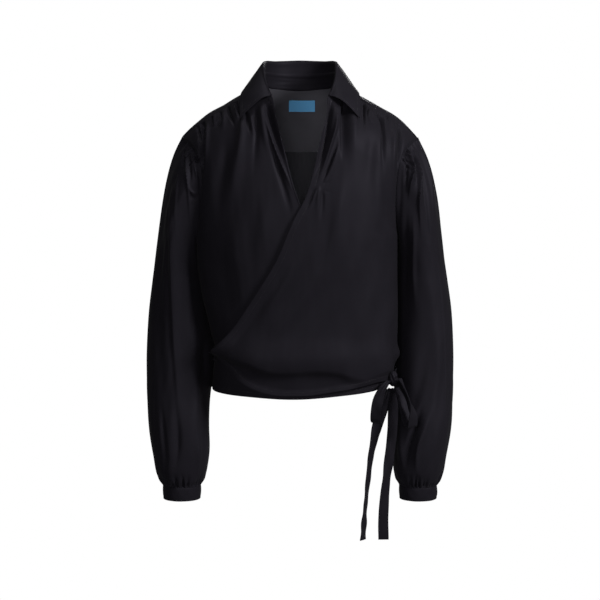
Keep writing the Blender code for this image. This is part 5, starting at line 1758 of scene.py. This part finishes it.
@dataclass(frozen=True)
class SatinCrepe:
    """Silky crepe: dark cloth with a soft sheen and a fine pebbled grain."""

    surface: Tree
    colour: Colour = (0.0085, 0.0077, 0.0103)
    sheen_tint: Colour = (0.86, 0.82, 1.0)
    roughness: float = 0.56
    specular: float = 0.055
    sheen: float = 0.01
    sheen_roughness: float = 0.5
    grain: float = 0.00006
    grain_scale: float = 900.0
    grain_strength: float = 0.5

    def material(self, name: str) -> Material:
        """Make the cloth's material."""
        made, graph, shader = Graph.material(
            name,
            {
                "Specular IOR Level": self.specular,
                "Specular Tint": (*self.sheen_tint, 1.0),
                "Sheen Weight": self.sheen,
                "Sheen Roughness": self.sheen_roughness,
            },
        )
        crepe = graph.add("Group")
        crepe.node_tree = self.surface
        own = {"Grain Scale": self.grain_scale, "Roughness": self.roughness}
        graph.fill(crepe, own, {"Vector": graph.cloth_place()})
        height, tone, roughness = (crepe.outputs[name] for name in ("Height", "Tone", "Roughness"))
        tint = graph.mix("MULTIPLY", {"Factor": 1.0, "A": (*self.colour, 1.0)}, {"B": tone})
        grain = {"Strength": self.grain_strength, "Distance": self.grain}
        normal = graph.add("Bump", grain, {"Height": height}).outputs["Normal"]
        graph.fill(shader, {}, {"Base Color": tint, "Roughness": roughness, "Normal": normal})
        return made


@dataclass(frozen=True)
class Thread:
    """Black sewing thread."""

    colour: Colour = (0.0050, 0.0045, 0.0060)
    roughness: float = 0.5

    def material(self) -> Material:
        """Make the thread's material."""
        values = {"Base Color": (*self.colour, 1.0), "Roughness": self.roughness}
        return Graph.material("black thread", values)[0]


@dataclass(frozen=True)
class WovenLabel:
    """Blue woven ribbon with slightly darker ribs."""

    colour: Colour = (0.200, 0.620, 1.000)
    dark: Colour = (0.130, 0.450, 0.940)
    roughness: float = 0.6
    rib_scale: float = 260.0
    rib_distortion: float = 0.3
    rib_height: float = 0.0001

    def material(self) -> Material:
        """Make the label's material."""
        made, graph, shader = Graph.material("blue woven label", {"Roughness": self.roughness})
        ribs = {"Scale": self.rib_scale, "Distortion": self.rib_distortion}
        weave = graph.add("TexWave", ribs, {"Vector": graph.cloth_place()}).outputs["Fac"]
        colours = {"A": (*self.dark, 1.0), "B": (*self.colour, 1.0)}
        colour = graph.mix("MIX", colours, {"Factor": weave})
        normal = graph.add("Bump", {"Distance": self.rib_height}, {"Height": weave}).outputs["Normal"]
        graph.fill(shader, {}, {"Base Color": colour, "Normal": normal})
        return made


# ---- studio
@dataclass(frozen=True)
class SoftLight:
    """Large soft light: place, size, power and what it points at."""

    name: str
    place: Triple
    size: float
    power: float
    aim: Triple = (0.0, 0.0, -0.35)

    def add(self) -> None:
        """Hang the light."""
        data = bpy.data.lights.new(self.name, "AREA")
        data.shape = "DISK"
        data.size = self.size
        data.energy = self.power
        light = bpy.data.objects.new(self.name, data)
        light.location = self.place
        x, y, z = (float(part) for part in unit(np.array(self.aim) - np.array(self.place)))
        light.rotation_euler = (math.acos(-z), 0.0, math.atan2(-x, y))
        bpy.context.scene.collection.objects.link(light)


@dataclass(frozen=True)
class Studio:
    """White room, pale floor, soft lights and camera."""

    floor_level: float = -1.05
    floor_size: float = 14.0
    floor_roughness: float = 0.9
    floor_bounce: Colour = (0.16, 0.16, 0.16)
    world_light: float = 0.08
    camera_place: Triple = (0.0, -2.8, -0.121)
    camera_pitch: float = math.radians(5.268)
    lens: float = 96.3
    lights: tuple[SoftLight, ...] = (
        SoftLight("key", (2.4, -1.8, 1.1), 1.0, 116.0),
        SoftLight("top", (0.2, -0.25, 2.4), 1.0, 22.0),
        SoftLight("front", (-0.1, -3.2, 0.1), 0.8, 20.0),
        SoftLight("fill", (-1.0, -3.0, 0.1), 0.8, 13.0),
        SoftLight("back", (0.4, 3.0, 0.3), 1.4, 40.0),
    )

    def set_up(self) -> None:
        """Build the room, hang the lights and set the camera."""
        self.world()
        self.floor()
        for light in self.lights:
            light.add()
        self.camera()
        view = bpy.context.scene.view_settings
        view.view_transform = "Standard"
        view.look = "None"

    @staticmethod
    def seen_as(graph: Graph, lit: Socket, seen: Socket) -> Socket:
        """Shader that is one thing to the camera and another to the light."""
        path = graph.add("LightPath").outputs["Is Camera Ray"]
        return graph.add("MixShader", {}, {"Fac": path, 1: lit, 2: seen}).outputs["Shader"]

    def world(self) -> None:
        """White background to the camera, dim light to everything else."""
        world = bpy.data.worlds.new("white room")
        world.use_nodes = True
        world.node_tree.nodes.clear()
        graph = Graph(world.node_tree)
        lit = graph.add("Background", {"Color": WHITE, "Strength": self.world_light})
        seen = graph.add("Background", {"Color": WHITE})
        surface = self.seen_as(graph, lit.outputs["Background"], seen.outputs["Background"])
        graph.add("OutputWorld", {}, {"Surface": surface})
        bpy.context.scene.world = world

    def floor(self) -> None:
        """Plain pale floor, as white to the camera as the background."""
        bpy.ops.object.select_all(action="DESELECT")
        bpy.ops.mesh.primitive_plane_add(size=self.floor_size, location=(0.0, 0.0, self.floor_level))
        floor = bpy.context.object
        floor.name = "pale_floor"
        values = {"Base Color": (*self.floor_bounce, 1.0), "Roughness": self.floor_roughness}
        made, graph, shader = Graph.material("pale_floor", values)
        glow = graph.add("Emission").outputs["Emission"]
        surface = self.seen_as(graph, shader.outputs["BSDF"], glow)
        graph.fill(graph.tree.nodes["Material Output"], {}, {"Surface": surface})
        floor.data.materials.append(made)

    def camera(self) -> None:
        """Camera in front of the blouse, pitched slightly down."""
        data = bpy.data.cameras.new("camera")
        data.lens = self.lens
        data.dof.use_dof = False
        camera = bpy.data.objects.new("camera", data)
        camera.location = self.camera_place
        camera.rotation_euler = (QUARTER - self.camera_pitch, 0.0, 0.0)
        bpy.context.scene.collection.objects.link(camera)
        bpy.context.scene.camera = camera


# ---- the pattern
UNDER_FRONT = Front(
    name="under_front",
    node="front_under",
    side=Side.RIGHT,
    edge=rows_of(
        EdgeRow,
        (0.0425, -0.048), (0.0344, -0.0872), (0.0258, -0.1257), (0.015, -0.169), (0.0, -0.209),
        (-0.04, -0.285), (-0.09, -0.375), (-0.136, -0.445), (-0.154, -0.485),
    ),
    hem=rows_of(
        EdgeRow,
        (-0.154, -0.485), (-0.156, -0.514), (-0.143, -0.524), (-0.133, -0.528), (-0.11, -0.5315),
        (-0.0745, -0.5345), (0.0017, -0.54), (0.0938, -0.537),
    ),
    folds=(
        fold(1.6, 1.6, -8.5, 0.16, -109.9, -27.5, -106.2, -48.3, -101.6, -61.6, -100.1, -74.2),
        fold(2.6, 1.8, -8.7, 0.2, -125.5, -38.9, -120, -57.5, -114.3, -69.8, -110, -82.5, skew=-0.35),
        fold(2.2, 1.8, -6.5, 0.2, -136.2, -50.3, -136.7, -68.8, -142.3, -77.1, -151.1, -81.8, skew=-0.35),
        fold(1.9, 1.5, -8.5, 0.16, -152.1, -57, -150.2, -66.7, -148.3, -78.8),
        fold(3.4, 3.4, -15.9, 0.12, -169.9, -61.5, -165.9, -87.1, -166.2, -110.2, -168.9, -166.6, -176.2,
             -247.7, skew=-0.35),
        fold(2.2, 2, -7.2, 0.2, -177.3, -73.1, -170.6, -100.7, -168.9, -134.5, skew=-0.35),
        fold(3.4, 3.4, 3.6, 0.25, -158.3, -63, -158.2, -87.2, -158.1, -117.6, -159.7, -154.7),
        fold(4, 4, 3, 0.35, -129.6, -46.1, -129, -67, -131.4, -90.8),
        fold(2.2, 2.4, 3, 0.35, -113.7, -34, -108.3, -53.6, -105, -70.7),
        fold(2.6, 2.6, 2.6, 0.35, -143.6, -50.9, -146.4, -66.8, -143.8, -83.9),
        fold(4.6, 14, 5.6, 0.16, -96.8, -53.8, -97.8, -92.7, -104.4, -134.3, -112.2, -184.4, -115.9,
             -243.1),
        fold(8, 12, -4, 0.35, -119.5, -80.8, -125.8, -134.4, -134.7, -193.1, -140.5, -269.4),
        fold(3, 2.6, -4.2, 0.2, -94.8, -48.7, -89.3, -70.9, -81.3, -97.7, skew=-0.35),
        fold(3.6, 5.5, -4.6, 0.2, -76.2, -43.8, -73.9, -81, -75.8, -117.7, -76.7, -170.8, skew=-0.35),
        fold(2.6, 2.6, 2.6, 0.4, -83.3, -54, -80.7, -74.3, -77.7, -94.4),
        fold(5, 4.5, 4.5, 0.25, -65.4, -35.4, -62.9, -64.3, -57.5, -101.1, -48.3, -134.3),
        fold(2.3, 2.2, 4.6, 0.35, -60.7, -54.2, -50.4, -89.4, -37.3, -126, -23, -159.1, -9.6, -190.6, -0.7,
             -208.8),
        fold(5, 3, -15, 0.3, -60, -32, -55.6, -54.3, -48.1, -79.5, -40, -102.7, -33, -123.7, -26, -147.5,
             skew=-0.62),
        fold(4.2, 5, -4.7, 0.4, -54.2, -94.4, -38.3, -144.2, -26, -184, -16, -223.7, -15, -253.7),
        fold(34, 34, 11, 0.5, -165.3, -52, -162, -134.5, -164.2, -236.8, -167.9, -361.3, -166.7, -467),
        fold(20, 22, 3.4, 0.5, -102, -184.3, -105.8, -285, -94.6, -403.7),
        fold(18, 20, -2, 0.5, -129.6, -218.2, -130.4, -319.9, -124.4, -422.9),
        fold(12, 14, 3.4, 0.45, -51.6, -175.7, -61.7, -250.6, -68.8, -334.9),
    ),
    columns=160,
    rows=230,
    seed=11,
)

OVER_FRONT = Front(
    name="over_front",
    node="front_over",
    side=Side.LEFT,
    edge=rows_of(
        EdgeRow,
        (0.0455, -0.0529), (0.0363, -0.0938), (0.0297, -0.1213), (0.0211, -0.1596), (0.011, -0.193),
        (-0.0087, -0.2316), (-0.0389, -0.3023), (-0.0806, -0.3725), (-0.1066, -0.4158), (-0.13, -0.452),
        (-0.1425, -0.464),
    ),
    hem=rows_of(
        EdgeRow,
        (-0.1425, -0.464), (-0.1217, -0.4847), (-0.0971, -0.5112), (-0.0602, -0.5276),
        (-0.0017, -0.532), (0.0744, -0.523), (0.1331, -0.512),
    ),
    folds=(
        fold(3.2, 2.4, -14, 0.18, 51.9, -30.4, 50.6, -50.9, 47.4, -73.3, 41.7, -106.6, 34.6, -135.9, 20.6,
             -172.4, skew=-0.45),
        fold(3.6, 2.6, 6.5, 0.35, 64.6, -40.5, 59.8, -78.9, 50.7, -110.4, 39, -147.2, 27.3, -182.3),
        fold(5.2, 6, -14, 0.2, 74.9, -28.2, 73.2, -54.1, 71.6, -79.4, 71.1, -106, 72.4, -144.3, skew=-0.45),
        fold(1.8, 1.6, -3.8, 0.4, 64.1, -97.7, 55.3, -127.6, 44.6, -154.2, 34, -179),
        fold(1.7, 1.6, 3.4, 0.5, 65.7, -106, 57.7, -131, 47.3, -155.8, 35.3, -180.7),
        fold(2.4, 5, 2.4, 0.15, 31, -175.7, 29.8, -200.5, 28.3, -243.7),
        fold(2.4, 5, -2.6, 0.2, 37.6, -180.7, 37, -205.5, 35, -253.8),
        fold(1.6, 2.6, 2.6, 0.25, 29, -179, 20.8, -200.5, 11.7, -228.7),
        fold(1.8, 3, -1.8, 0.25, 24.6, -177.3, 16.6, -195.5, 7.5, -218.8),
        fold(1.4, 1.2, -1.3, 0.3, 36, -174.7, 44, -171.7, 55, -171.4),
        fold(1.4, 1.2, -1, 0.3, 37.6, -184.3, 46.6, -187.3, 58.3, -186.4),
        fold(7, 9, 4.2, 0.18, 90.6, -40.1, 90.5, -75.9, 88.5, -117.7, 85.1, -167.5),
        fold(1.3, 1.2, -9.5, 0.16, 109.9, -32.4, 108.8, -57, 108.4, -89.3),
        fold(1.5, 1.4, 3.4, 0.25, 114.8, -34, 113.7, -57, 113.9, -84.2),
        fold(1.8, 1.5, 2.6, 0.25, 105.6, -36.2, 104.6, -60.5, 105.4, -84.2),
        fold(1.4, 1.5, -6.1, 0.16, 118.1, -42, 114.8, -56.9, 118.1, -69.6, 130.8, -74.5),
        fold(1.7, 4.5, -9.1, 0.14, 134.8, -45.8, 132.6, -56.6, 138.3, -65.2, 141, -78.9, 140.6, -117.6,
             140.3, -171.3),
        fold(2.6, 2.6, 3.4, 0.35, 127.7, -43.4, 123.9, -56.8, 125.9, -66.2),
        fold(1.7, 1.5, -7.6, 0.16, 151, -49.5, 150.4, -61.4, 150.3, -73.6),
        fold(2.4, 2.6, 3, 0.3, 144, -45.2, 144.8, -63.3, 148.4, -83.9),
        fold(4, 5, 4.2, 0.16, 160.7, -55.5, 159, -100.8, 157.4, -164.8, 161.6, -246.9),
        fold(2.6, 3.4, -10.5, 0.2, 168.7, -64.4, 169.6, -97.3, 167.4, -134.5, 165.4, -185.4, skew=-0.35),
        fold(9, 12, -3.6, 0.3, 120.4, -80.8, 118.1, -134.3, 108.9, -201.1),
        fold(9, 12, 3.2, 0.45, 131, -117.7, 130.4, -201.4, 121.5, -302.5),
        fold(9, 11, -3, 0.4, 51.6, -184, 45, -258.8, 21.8, -351.3),
        fold(9, 12, 3.2, 0.4, 70, -150.9, 63.4, -225.6, 41.8, -317.6),
        fold(14, 18, 3.4, 0.5, 119.1, -184.5, 93.9, -284.6, 50.4, -394, -10.1, -478.8),
        fold(14, 18, 3, 0.5, 145.5, -218.7, 120.1, -345, 76, -453.8, 20.3, -501.7),
        fold(12, 15, 3.4, 0.55, 83.5, -200.8, 45.1, -300.8, -20.2, -402.2, -81.2, -454.4),
        fold(8, 10, 3.4, 0.6, 18.3, -253.7, -30.2, -351.4, -81.1, -428.8),
        fold(12, 14, 2.4, 0.6, 157.3, -304.9, 147.1, -415.6, 128.3, -500.9),
    ),
    columns=180,
    rows=240,
    seed=21,
)

OVER_ROLL = Roll(
    rows_of(
        EdgeRow,
        (-0.1377, -0.4581), (-0.1213, -0.4614), (-0.1037, -0.4674), (-0.083, -0.473),
        (-0.0626, -0.4818), (-0.0423, -0.4866), (-0.0152, -0.4854), (0.0118, -0.4836),
        (0.0389, -0.4838), (0.0677, -0.4888), (0.0866, -0.4975), (0.1073, -0.5022), (0.1283, -0.4951),
        (0.1555, -0.487),
    )
)

BACK = Back(
    gathers=Gathers(count=30, start=-0.155, end=0.155, length=0.085, height=-0.0046, seed=33),
    folds=(
        fold(2.6, 5, -4.0, 0.12, -2, -112, -2.5, -130, -3, -165),
        fold(14, 18, 3.4, 0.5, -110, -200, -100, -300, -85, -420),
        fold(12, 16, 3.4, 0.5, -50, -170, -46, -280, -52, -400),
        fold(13, 16, 3.0, 0.5, 10, -190, 14, -300, 6, -420),
        fold(12, 16, 3.8, 0.55, 60, -170, 58, -290, 66, -410),
        fold(13, 17, 3.4, 0.55, 115, -220, 108, -320, 94, -430),
    ),
)

SLEEVE_DRAPES = (
    fold(7, 10, -6, 0.35, 940, -150, 935, -260, 940, -400),
    fold(5, 7, 4, 0.35, 900, -150, 895, -260, 900, -380),
    fold(10, 14, -7, 0.4, 720, -190, 730, -320, 740, -450),
    fold(9, 12, 5.4, 0.4, 820, -170, 810, -300, 800, -420),
    fold(10, 14, -5.4, 0.5, 870, -300, 865, -420, 880, -580),
    fold(10, 14, 4.7, 0.5, 640, -300, 650, -420, 660, -580),
    fold(6, 9, -5, 0.3, 780, -130, 775, -200, 770, -290),
    fold(5, 8, 4, 0.3, 850, -120, 845, -190, 850, -270),
    fold(8, 12, 4.6, 0.55, 740, -470, 750, -560, 740, -650),
    fold(8, 10, -4.6, 0.5, 690, -500, 700, -590, 690, -670),
    fold(10, 14, 3, 0.5, 500, -330, 500, -450, 500, -600),
    fold(9, 12, -3.4, 0.5, 560, -300, 570, -400, 560, -520),
    fold(8, 10, 3.4, 0.5, 960, -420, 955, -520, 960, -640),
)

RIGHT_SLEEVE_FRONT = (
    fold(7, 10, -5, 0.35, -227.8, -134.6, -235.1, -185.9, -240.8, -254.6, -243.9, -323.6, -245.4, -401.5,
         -241, -500.9, -229.7, -602.7),
    fold(9, 12, 7.5, 0.3, -212.4, -127.8, -216.1, -168.8, -219.2, -220.2, -221.1, -289, -220.6, -358.2,
         -217.4, -445, -209.5, -549.9, -200.4, -655.6, skew=-0.62),
    fold(1.5, 2, 2, 0.3, -202.8, -134.6, -207.1, -162, -210.9, -209.9, -210.6, -271.8),
    fold(1.8, 2.4, 3.2, 0.22, -196.2, -110.8, -192.7, -155.1, -189.8, -185.9, -186.7, -235.7, -178.3,
         -275.3),
    fold(2, 2, -4.4, 0.4, -191.1, -114.2, -186.5, -151.7, -185, -180.8),
    fold(1.5, 1.6, 3.2, 0.5, -183.9, -124.4, -177.9, -150, -174.3, -172.2, -173.5, -187.6),
    fold(1.5, 1.5, 3, 0.5, -189.4, -175.7, -185, -188, -178.5, -191.1, -171.6, -189.7),
    fold(2, 2.4, -3.2, 0.5, -189.5, -189.4, -183, -197.6, -172.7, -199),
    fold(2.6, 2.8, -5, 0.3, -179.1, -117.6, -171.7, -143.2, -168.5, -177.4, -168.9, -251.2),
    fold(2.6, 3, -2.6, 0.4, -179.5, -251.2, -175.7, -292.5, -172.5, -340.9),
    fold(1.8, 2, -3, 0.25, -200.6, -104, -199.8, -134.6, -198.3, -179.1),
    fold(7, 9, 3.4, 0.45, -194.4, -263.2, -195.1, -375.5, -199.4, -500.9),
    fold(5, 6, -4.4, 0.5, -166.1, -427.6, -165.5, -488.7, -164.9, -535.9),
    fold(6, 5, -4.4, 0.5, -213.6, -549.9, -210.7, -620.3, -218, -680.3),
    fold(5, 4, 3.4, 0.6, -179.1, -585.1, -175.9, -634.4, -177.9, -680.3),
    fold(4, 4, -3, 0.5, -241.4, -541.2, -236.6, -602.7, -228.4, -669.7),
    fold(10, 12, 7, 0.55, -186.4, -358.2, -185.2, -445, -182.4, -549.9, -181.1, -620.3, -184.9, -680.3,
         skew=0.25),
    fold(1.2, 1.2, 1, 0.4, -254.7, -514.9, -254.4, -567.5, -250.1, -629.1),
)

LEFT_SLEEVE_FRONT = (
    fold(4.6, 5, -7, 0.3, 170.6, -121, 170.3, -144.9, 168.8, -175.7, 167.6, -209.9, 167.6, -271.8),
    fold(3.2, 3.2, -7.5, 0.4, 176.3, -110.8, 179.8, -127.8, 182.7, -141.5, 180, -162, 177.5, -196.2),
    fold(3.2, 3.2, 8.2, 0.35, 182.4, -104, 186, -121, 189.1, -134.6, 192, -148.3, 189.3, -165.4, 186.4,
         -185.9, 184.1, -209.9, skew=-0.5),
    fold(2.6, 2.4, -7.2, 0.4, 190.3, -100.6, 192.8, -117.6, 195, -134.6, 197.5, -155.1, 197, -182.5),
    fold(3, 3.4, 7.8, 0.3, 194.4, -98.8, 197.6, -117.6, 200.8, -139.8, 202.4, -172.2, 202.3, -203.1, 205.3,
         -240.8, 208, -282.1, skew=-0.5),
    fold(2.8, 3.4, -6.6, 0.45, 200.2, -102.3, 204.1, -126.1, 208.8, -151.7, 213.5, -182.5, 217.1, -216.8,
         221.4, -289),
    fold(3.2, 3.4, 6.6, 0.3, 204, -102.3, 209.3, -121, 215.6, -144.9, 222, -172.2, 226.7, -203.1, 230.8,
         -251.2, skew=-0.5),
    fold(2.4, 2.4, -5.6, 0.4, 209.8, -104, 215.8, -129.5, 222.2, -155.1, 227.9, -185.9),
    fold(2.6, 2.6, 3.4, 0.35, 212.9, -102.3, 219.2, -124.4, 226.2, -148.3, 232.3, -175.7, 235.9, -203.1,
         skew=-0.5),
    fold(1.2, 1.3, 1.5, 0.3, 231.1, -246, 236.7, -297.7, 241.8, -332.2, 250.6, -436.3, 254.1, -525.4, 251.6,
         -599.1, 247.6, -666.2),
    fold(3.4, 4, 3.8, 0.4, 193.1, -211.6, 195.2, -271.8, 195.6, -332.2, 199.8, -406.8),
    fold(5, 6, -4.6, 0.4, 181.3, -196.2, 181.4, -271.8, 181.9, -358.2, 183.4, -436.3),
    fold(5, 4.4, -7, 0.5, 217.1, -542.9, 200.8, -585.1, 185.5, -630.8, 182.4, -676.8, skew=-0.35),
    fold(5, 5, 4.4, 0.5, 229.3, -549.9, 214, -599.1, 201.2, -641.4, 197.1, -680.3),
    fold(5, 4, 3.6, 0.5, 175, -593.9, 175.2, -637.9, 178.3, -676.8),
    fold(9, 9, 2.4, 0.45, 215.9, -375.5, 236.1, -445, 236, -523.6, 217.5, -606.2),
    fold(10, 9, -3, 0.45, 223.1, -418.9, 214.9, -488.7, 198.1, -558.7, 188, -620.3),
    fold(3.4, 3.4, 2.6, 0.55, 210.5, -593.9, 202.1, -637.9, 201.3, -680.3),
)

BOW_STRIPS = (
    strip(
        "bow_loop_in_front", "bow_loop_front", (0.94, -0.34, 0.0), 81,
        (0.1525, -0.073, -0.512, 0.0, 0.4), (0.142, -0.085, -0.522, 0.0, 0.75),
        (0.133, -0.093, -0.542, 0.0, 1.0), (0.129, -0.094, -0.564, 0.0, 1.0),
        (0.1295, -0.09, -0.579, 0.0, 1.0), (0.1325, -0.083, -0.582, 0.0, 1.0),
        (0.136, -0.078, -0.573, 0.0, 1.0), (0.1415, -0.0745, -0.555, 0.0, 0.95),
        (0.148, -0.07, -0.538, 0.0, 0.7), (0.1535, -0.066, -0.5275, 0.0, 0.4),
    ),
    strip(
        "bow_loop_at_the_side", "bow_loop_side", (0.94, 0.34, 0.0), 82,
        (0.1705, -0.07, -0.508, -10.0, 0.45), (0.175, -0.08, -0.516, -45.0, 0.75),
        (0.183, -0.092, -0.533, -64.0, 1.0), (0.1895, -0.0985, -0.551, -56.0, 1.0),
        (0.1925, -0.099, -0.572, -18.0, 1.0), (0.1905, -0.093, -0.588, -4.0, 1.0),
        (0.185, -0.086, -0.583, 0.0, 1.0), (0.179, -0.08, -0.564, 8.0, 0.95),
        (0.172, -0.07, -0.538, 0.0, 0.75), (0.1665, -0.062, -0.525, 0.0, 0.45),
    ),
    strip(
        "tie_tail_in_front", "tie_tail_front", (1.0, 0.0, 0.0), 83,
        (0.157, -0.059, -0.527, 0.0, 0.45), (0.1455, -0.061, -0.555, 0.0, 0.95),
        (0.132, -0.063, -0.596, -15.0, 1.0), (0.1277, -0.064, -0.616, -45.0, 1.0),
        (0.1215, -0.064, -0.651, -57.0, 1.0), (0.1178, -0.064, -0.686, -63.0, 1.0),
        (0.1143, -0.064, -0.721, -69.0, 1.0), (0.1113, -0.064, -0.7565, -63.0, 1.0),
        (0.1092, -0.064, -0.7915, -57.0, 1.0),
    ),
    strip(
        "tie_tail_at_the_side", "tie_tail_side", (1.0, 0.0, 0.0), 84,
        (0.1625, -0.054, -0.527, 0.0, 0.45), (0.1612, -0.0545, -0.555, 0.0, 0.9),
        (0.1595, -0.056, -0.602, -10.0, 0.95), (0.1542, -0.057, -0.652, -15.0, 0.95),
        (0.1497, -0.057, -0.6875, -35.0, 0.95), (0.1464, -0.057, -0.723, -22.0, 0.97),
        (0.1448, -0.057, -0.758, -10.0, 1.0), (0.1453, -0.057, -0.7925, 0.0, 1.0),
    ),
)
# Inner sides: colours far lighter than the outer satin, painted light for the little light that reaches
# inside; the back's is darker than the yoke's, painted shade under the fronts.
YOKE_INSIDE_PAINTED_LIGHT: Colour = (0.092, 0.089, 0.104)
BACK_INSIDE_PAINTED_LIGHT: Colour = (0.050, 0.049, 0.057)


def main() -> None:
    """Lay all the cloth, sew it and set up the studio."""
    logging.basicConfig(level=logging.INFO, format="%(name)s: %(message)s")
    seams = Seams(BodyForm())
    surface = crepe_surface()
    tailor = Tailor(SatinCrepe(surface).material("black satin crepe"))
    # Lightened copies of the satin for the inner sides: painted light, and painted shade on the back's.
    yoke_inside, back_inside = (
        SatinCrepe(surface, colour=colour, roughness=0.75, specular=0.05).material(name)
        for colour, name in ((YOKE_INSIDE_PAINTED_LIGHT, "inside of yoke"), (BACK_INSIDE_PAINTED_LIGHT, "inside of back"))
    )
    tie = WaistTie(seams.form)
    bodice = Bodice(seams, tie, yoke_inside, back_inside)
    back = bodice.back(BACK)
    under = bodice.under(UNDER_FRONT, OVER_FRONT)
    over = bodice.over(OVER_FRONT, OVER_ROLL, UNDER_FRONT)
    for piece in (bodice.yoke(Yoke()), back, under, over):
        tailor.lay(piece)
    form = SleeveForm(seams)
    for side, seed, front in ((Side.RIGHT, 51, RIGHT_SLEEVE_FRONT), (Side.LEFT, 55, LEFT_SLEEVE_FRONT)):
        head = Gathers(count=20, start=-0.050, end=0.058, length=0.046, height=-0.0066, seed=seed + 2)
        wrist = Gathers(count=38, start=0.0, end=0.36, length=0.034, height=-0.0078, seed=seed + 3)
        tailor.lay(Sleeve(side, form, SLEEVE_DRAPES, head, wrist, seed, front).piece())
        tailor.lay(Cuff(side, seed + 4).piece())
    collar = Collar(seams)
    fall = collar.fall()
    for piece in (collar.stand(), fall, NeckLabel(seams, WovenLabel().material()).piece()):
        tailor.lay(piece)
    Knot().tie(tailor)
    for piece in (tie, *BOW_STRIPS):
        tailor.lay(piece.piece())
    stitching = Stitching(tailor, Thread().material())
    hem = bodice.band.width
    edges = ((over, Edge.START), (over, Edge.BOTTOM), (under, Edge.START), (under, Edge.BOTTOM))
    lines = [piece.line(edge, hem) for piece, edge in (*edges, (back, Edge.BOTTOM))]
    stitching.sew("front_stitches", lines)
    inset = collar.stitch_inset
    ends = [fall.line(edge, inset, collar.leaf_row) for edge in (Edge.START, Edge.END)]
    stitching.sew("collar_stitches", [*ends, fall.line(Edge.BOTTOM, inset)])
    Studio().set_up()


if __name__ == "__main__":
    main()
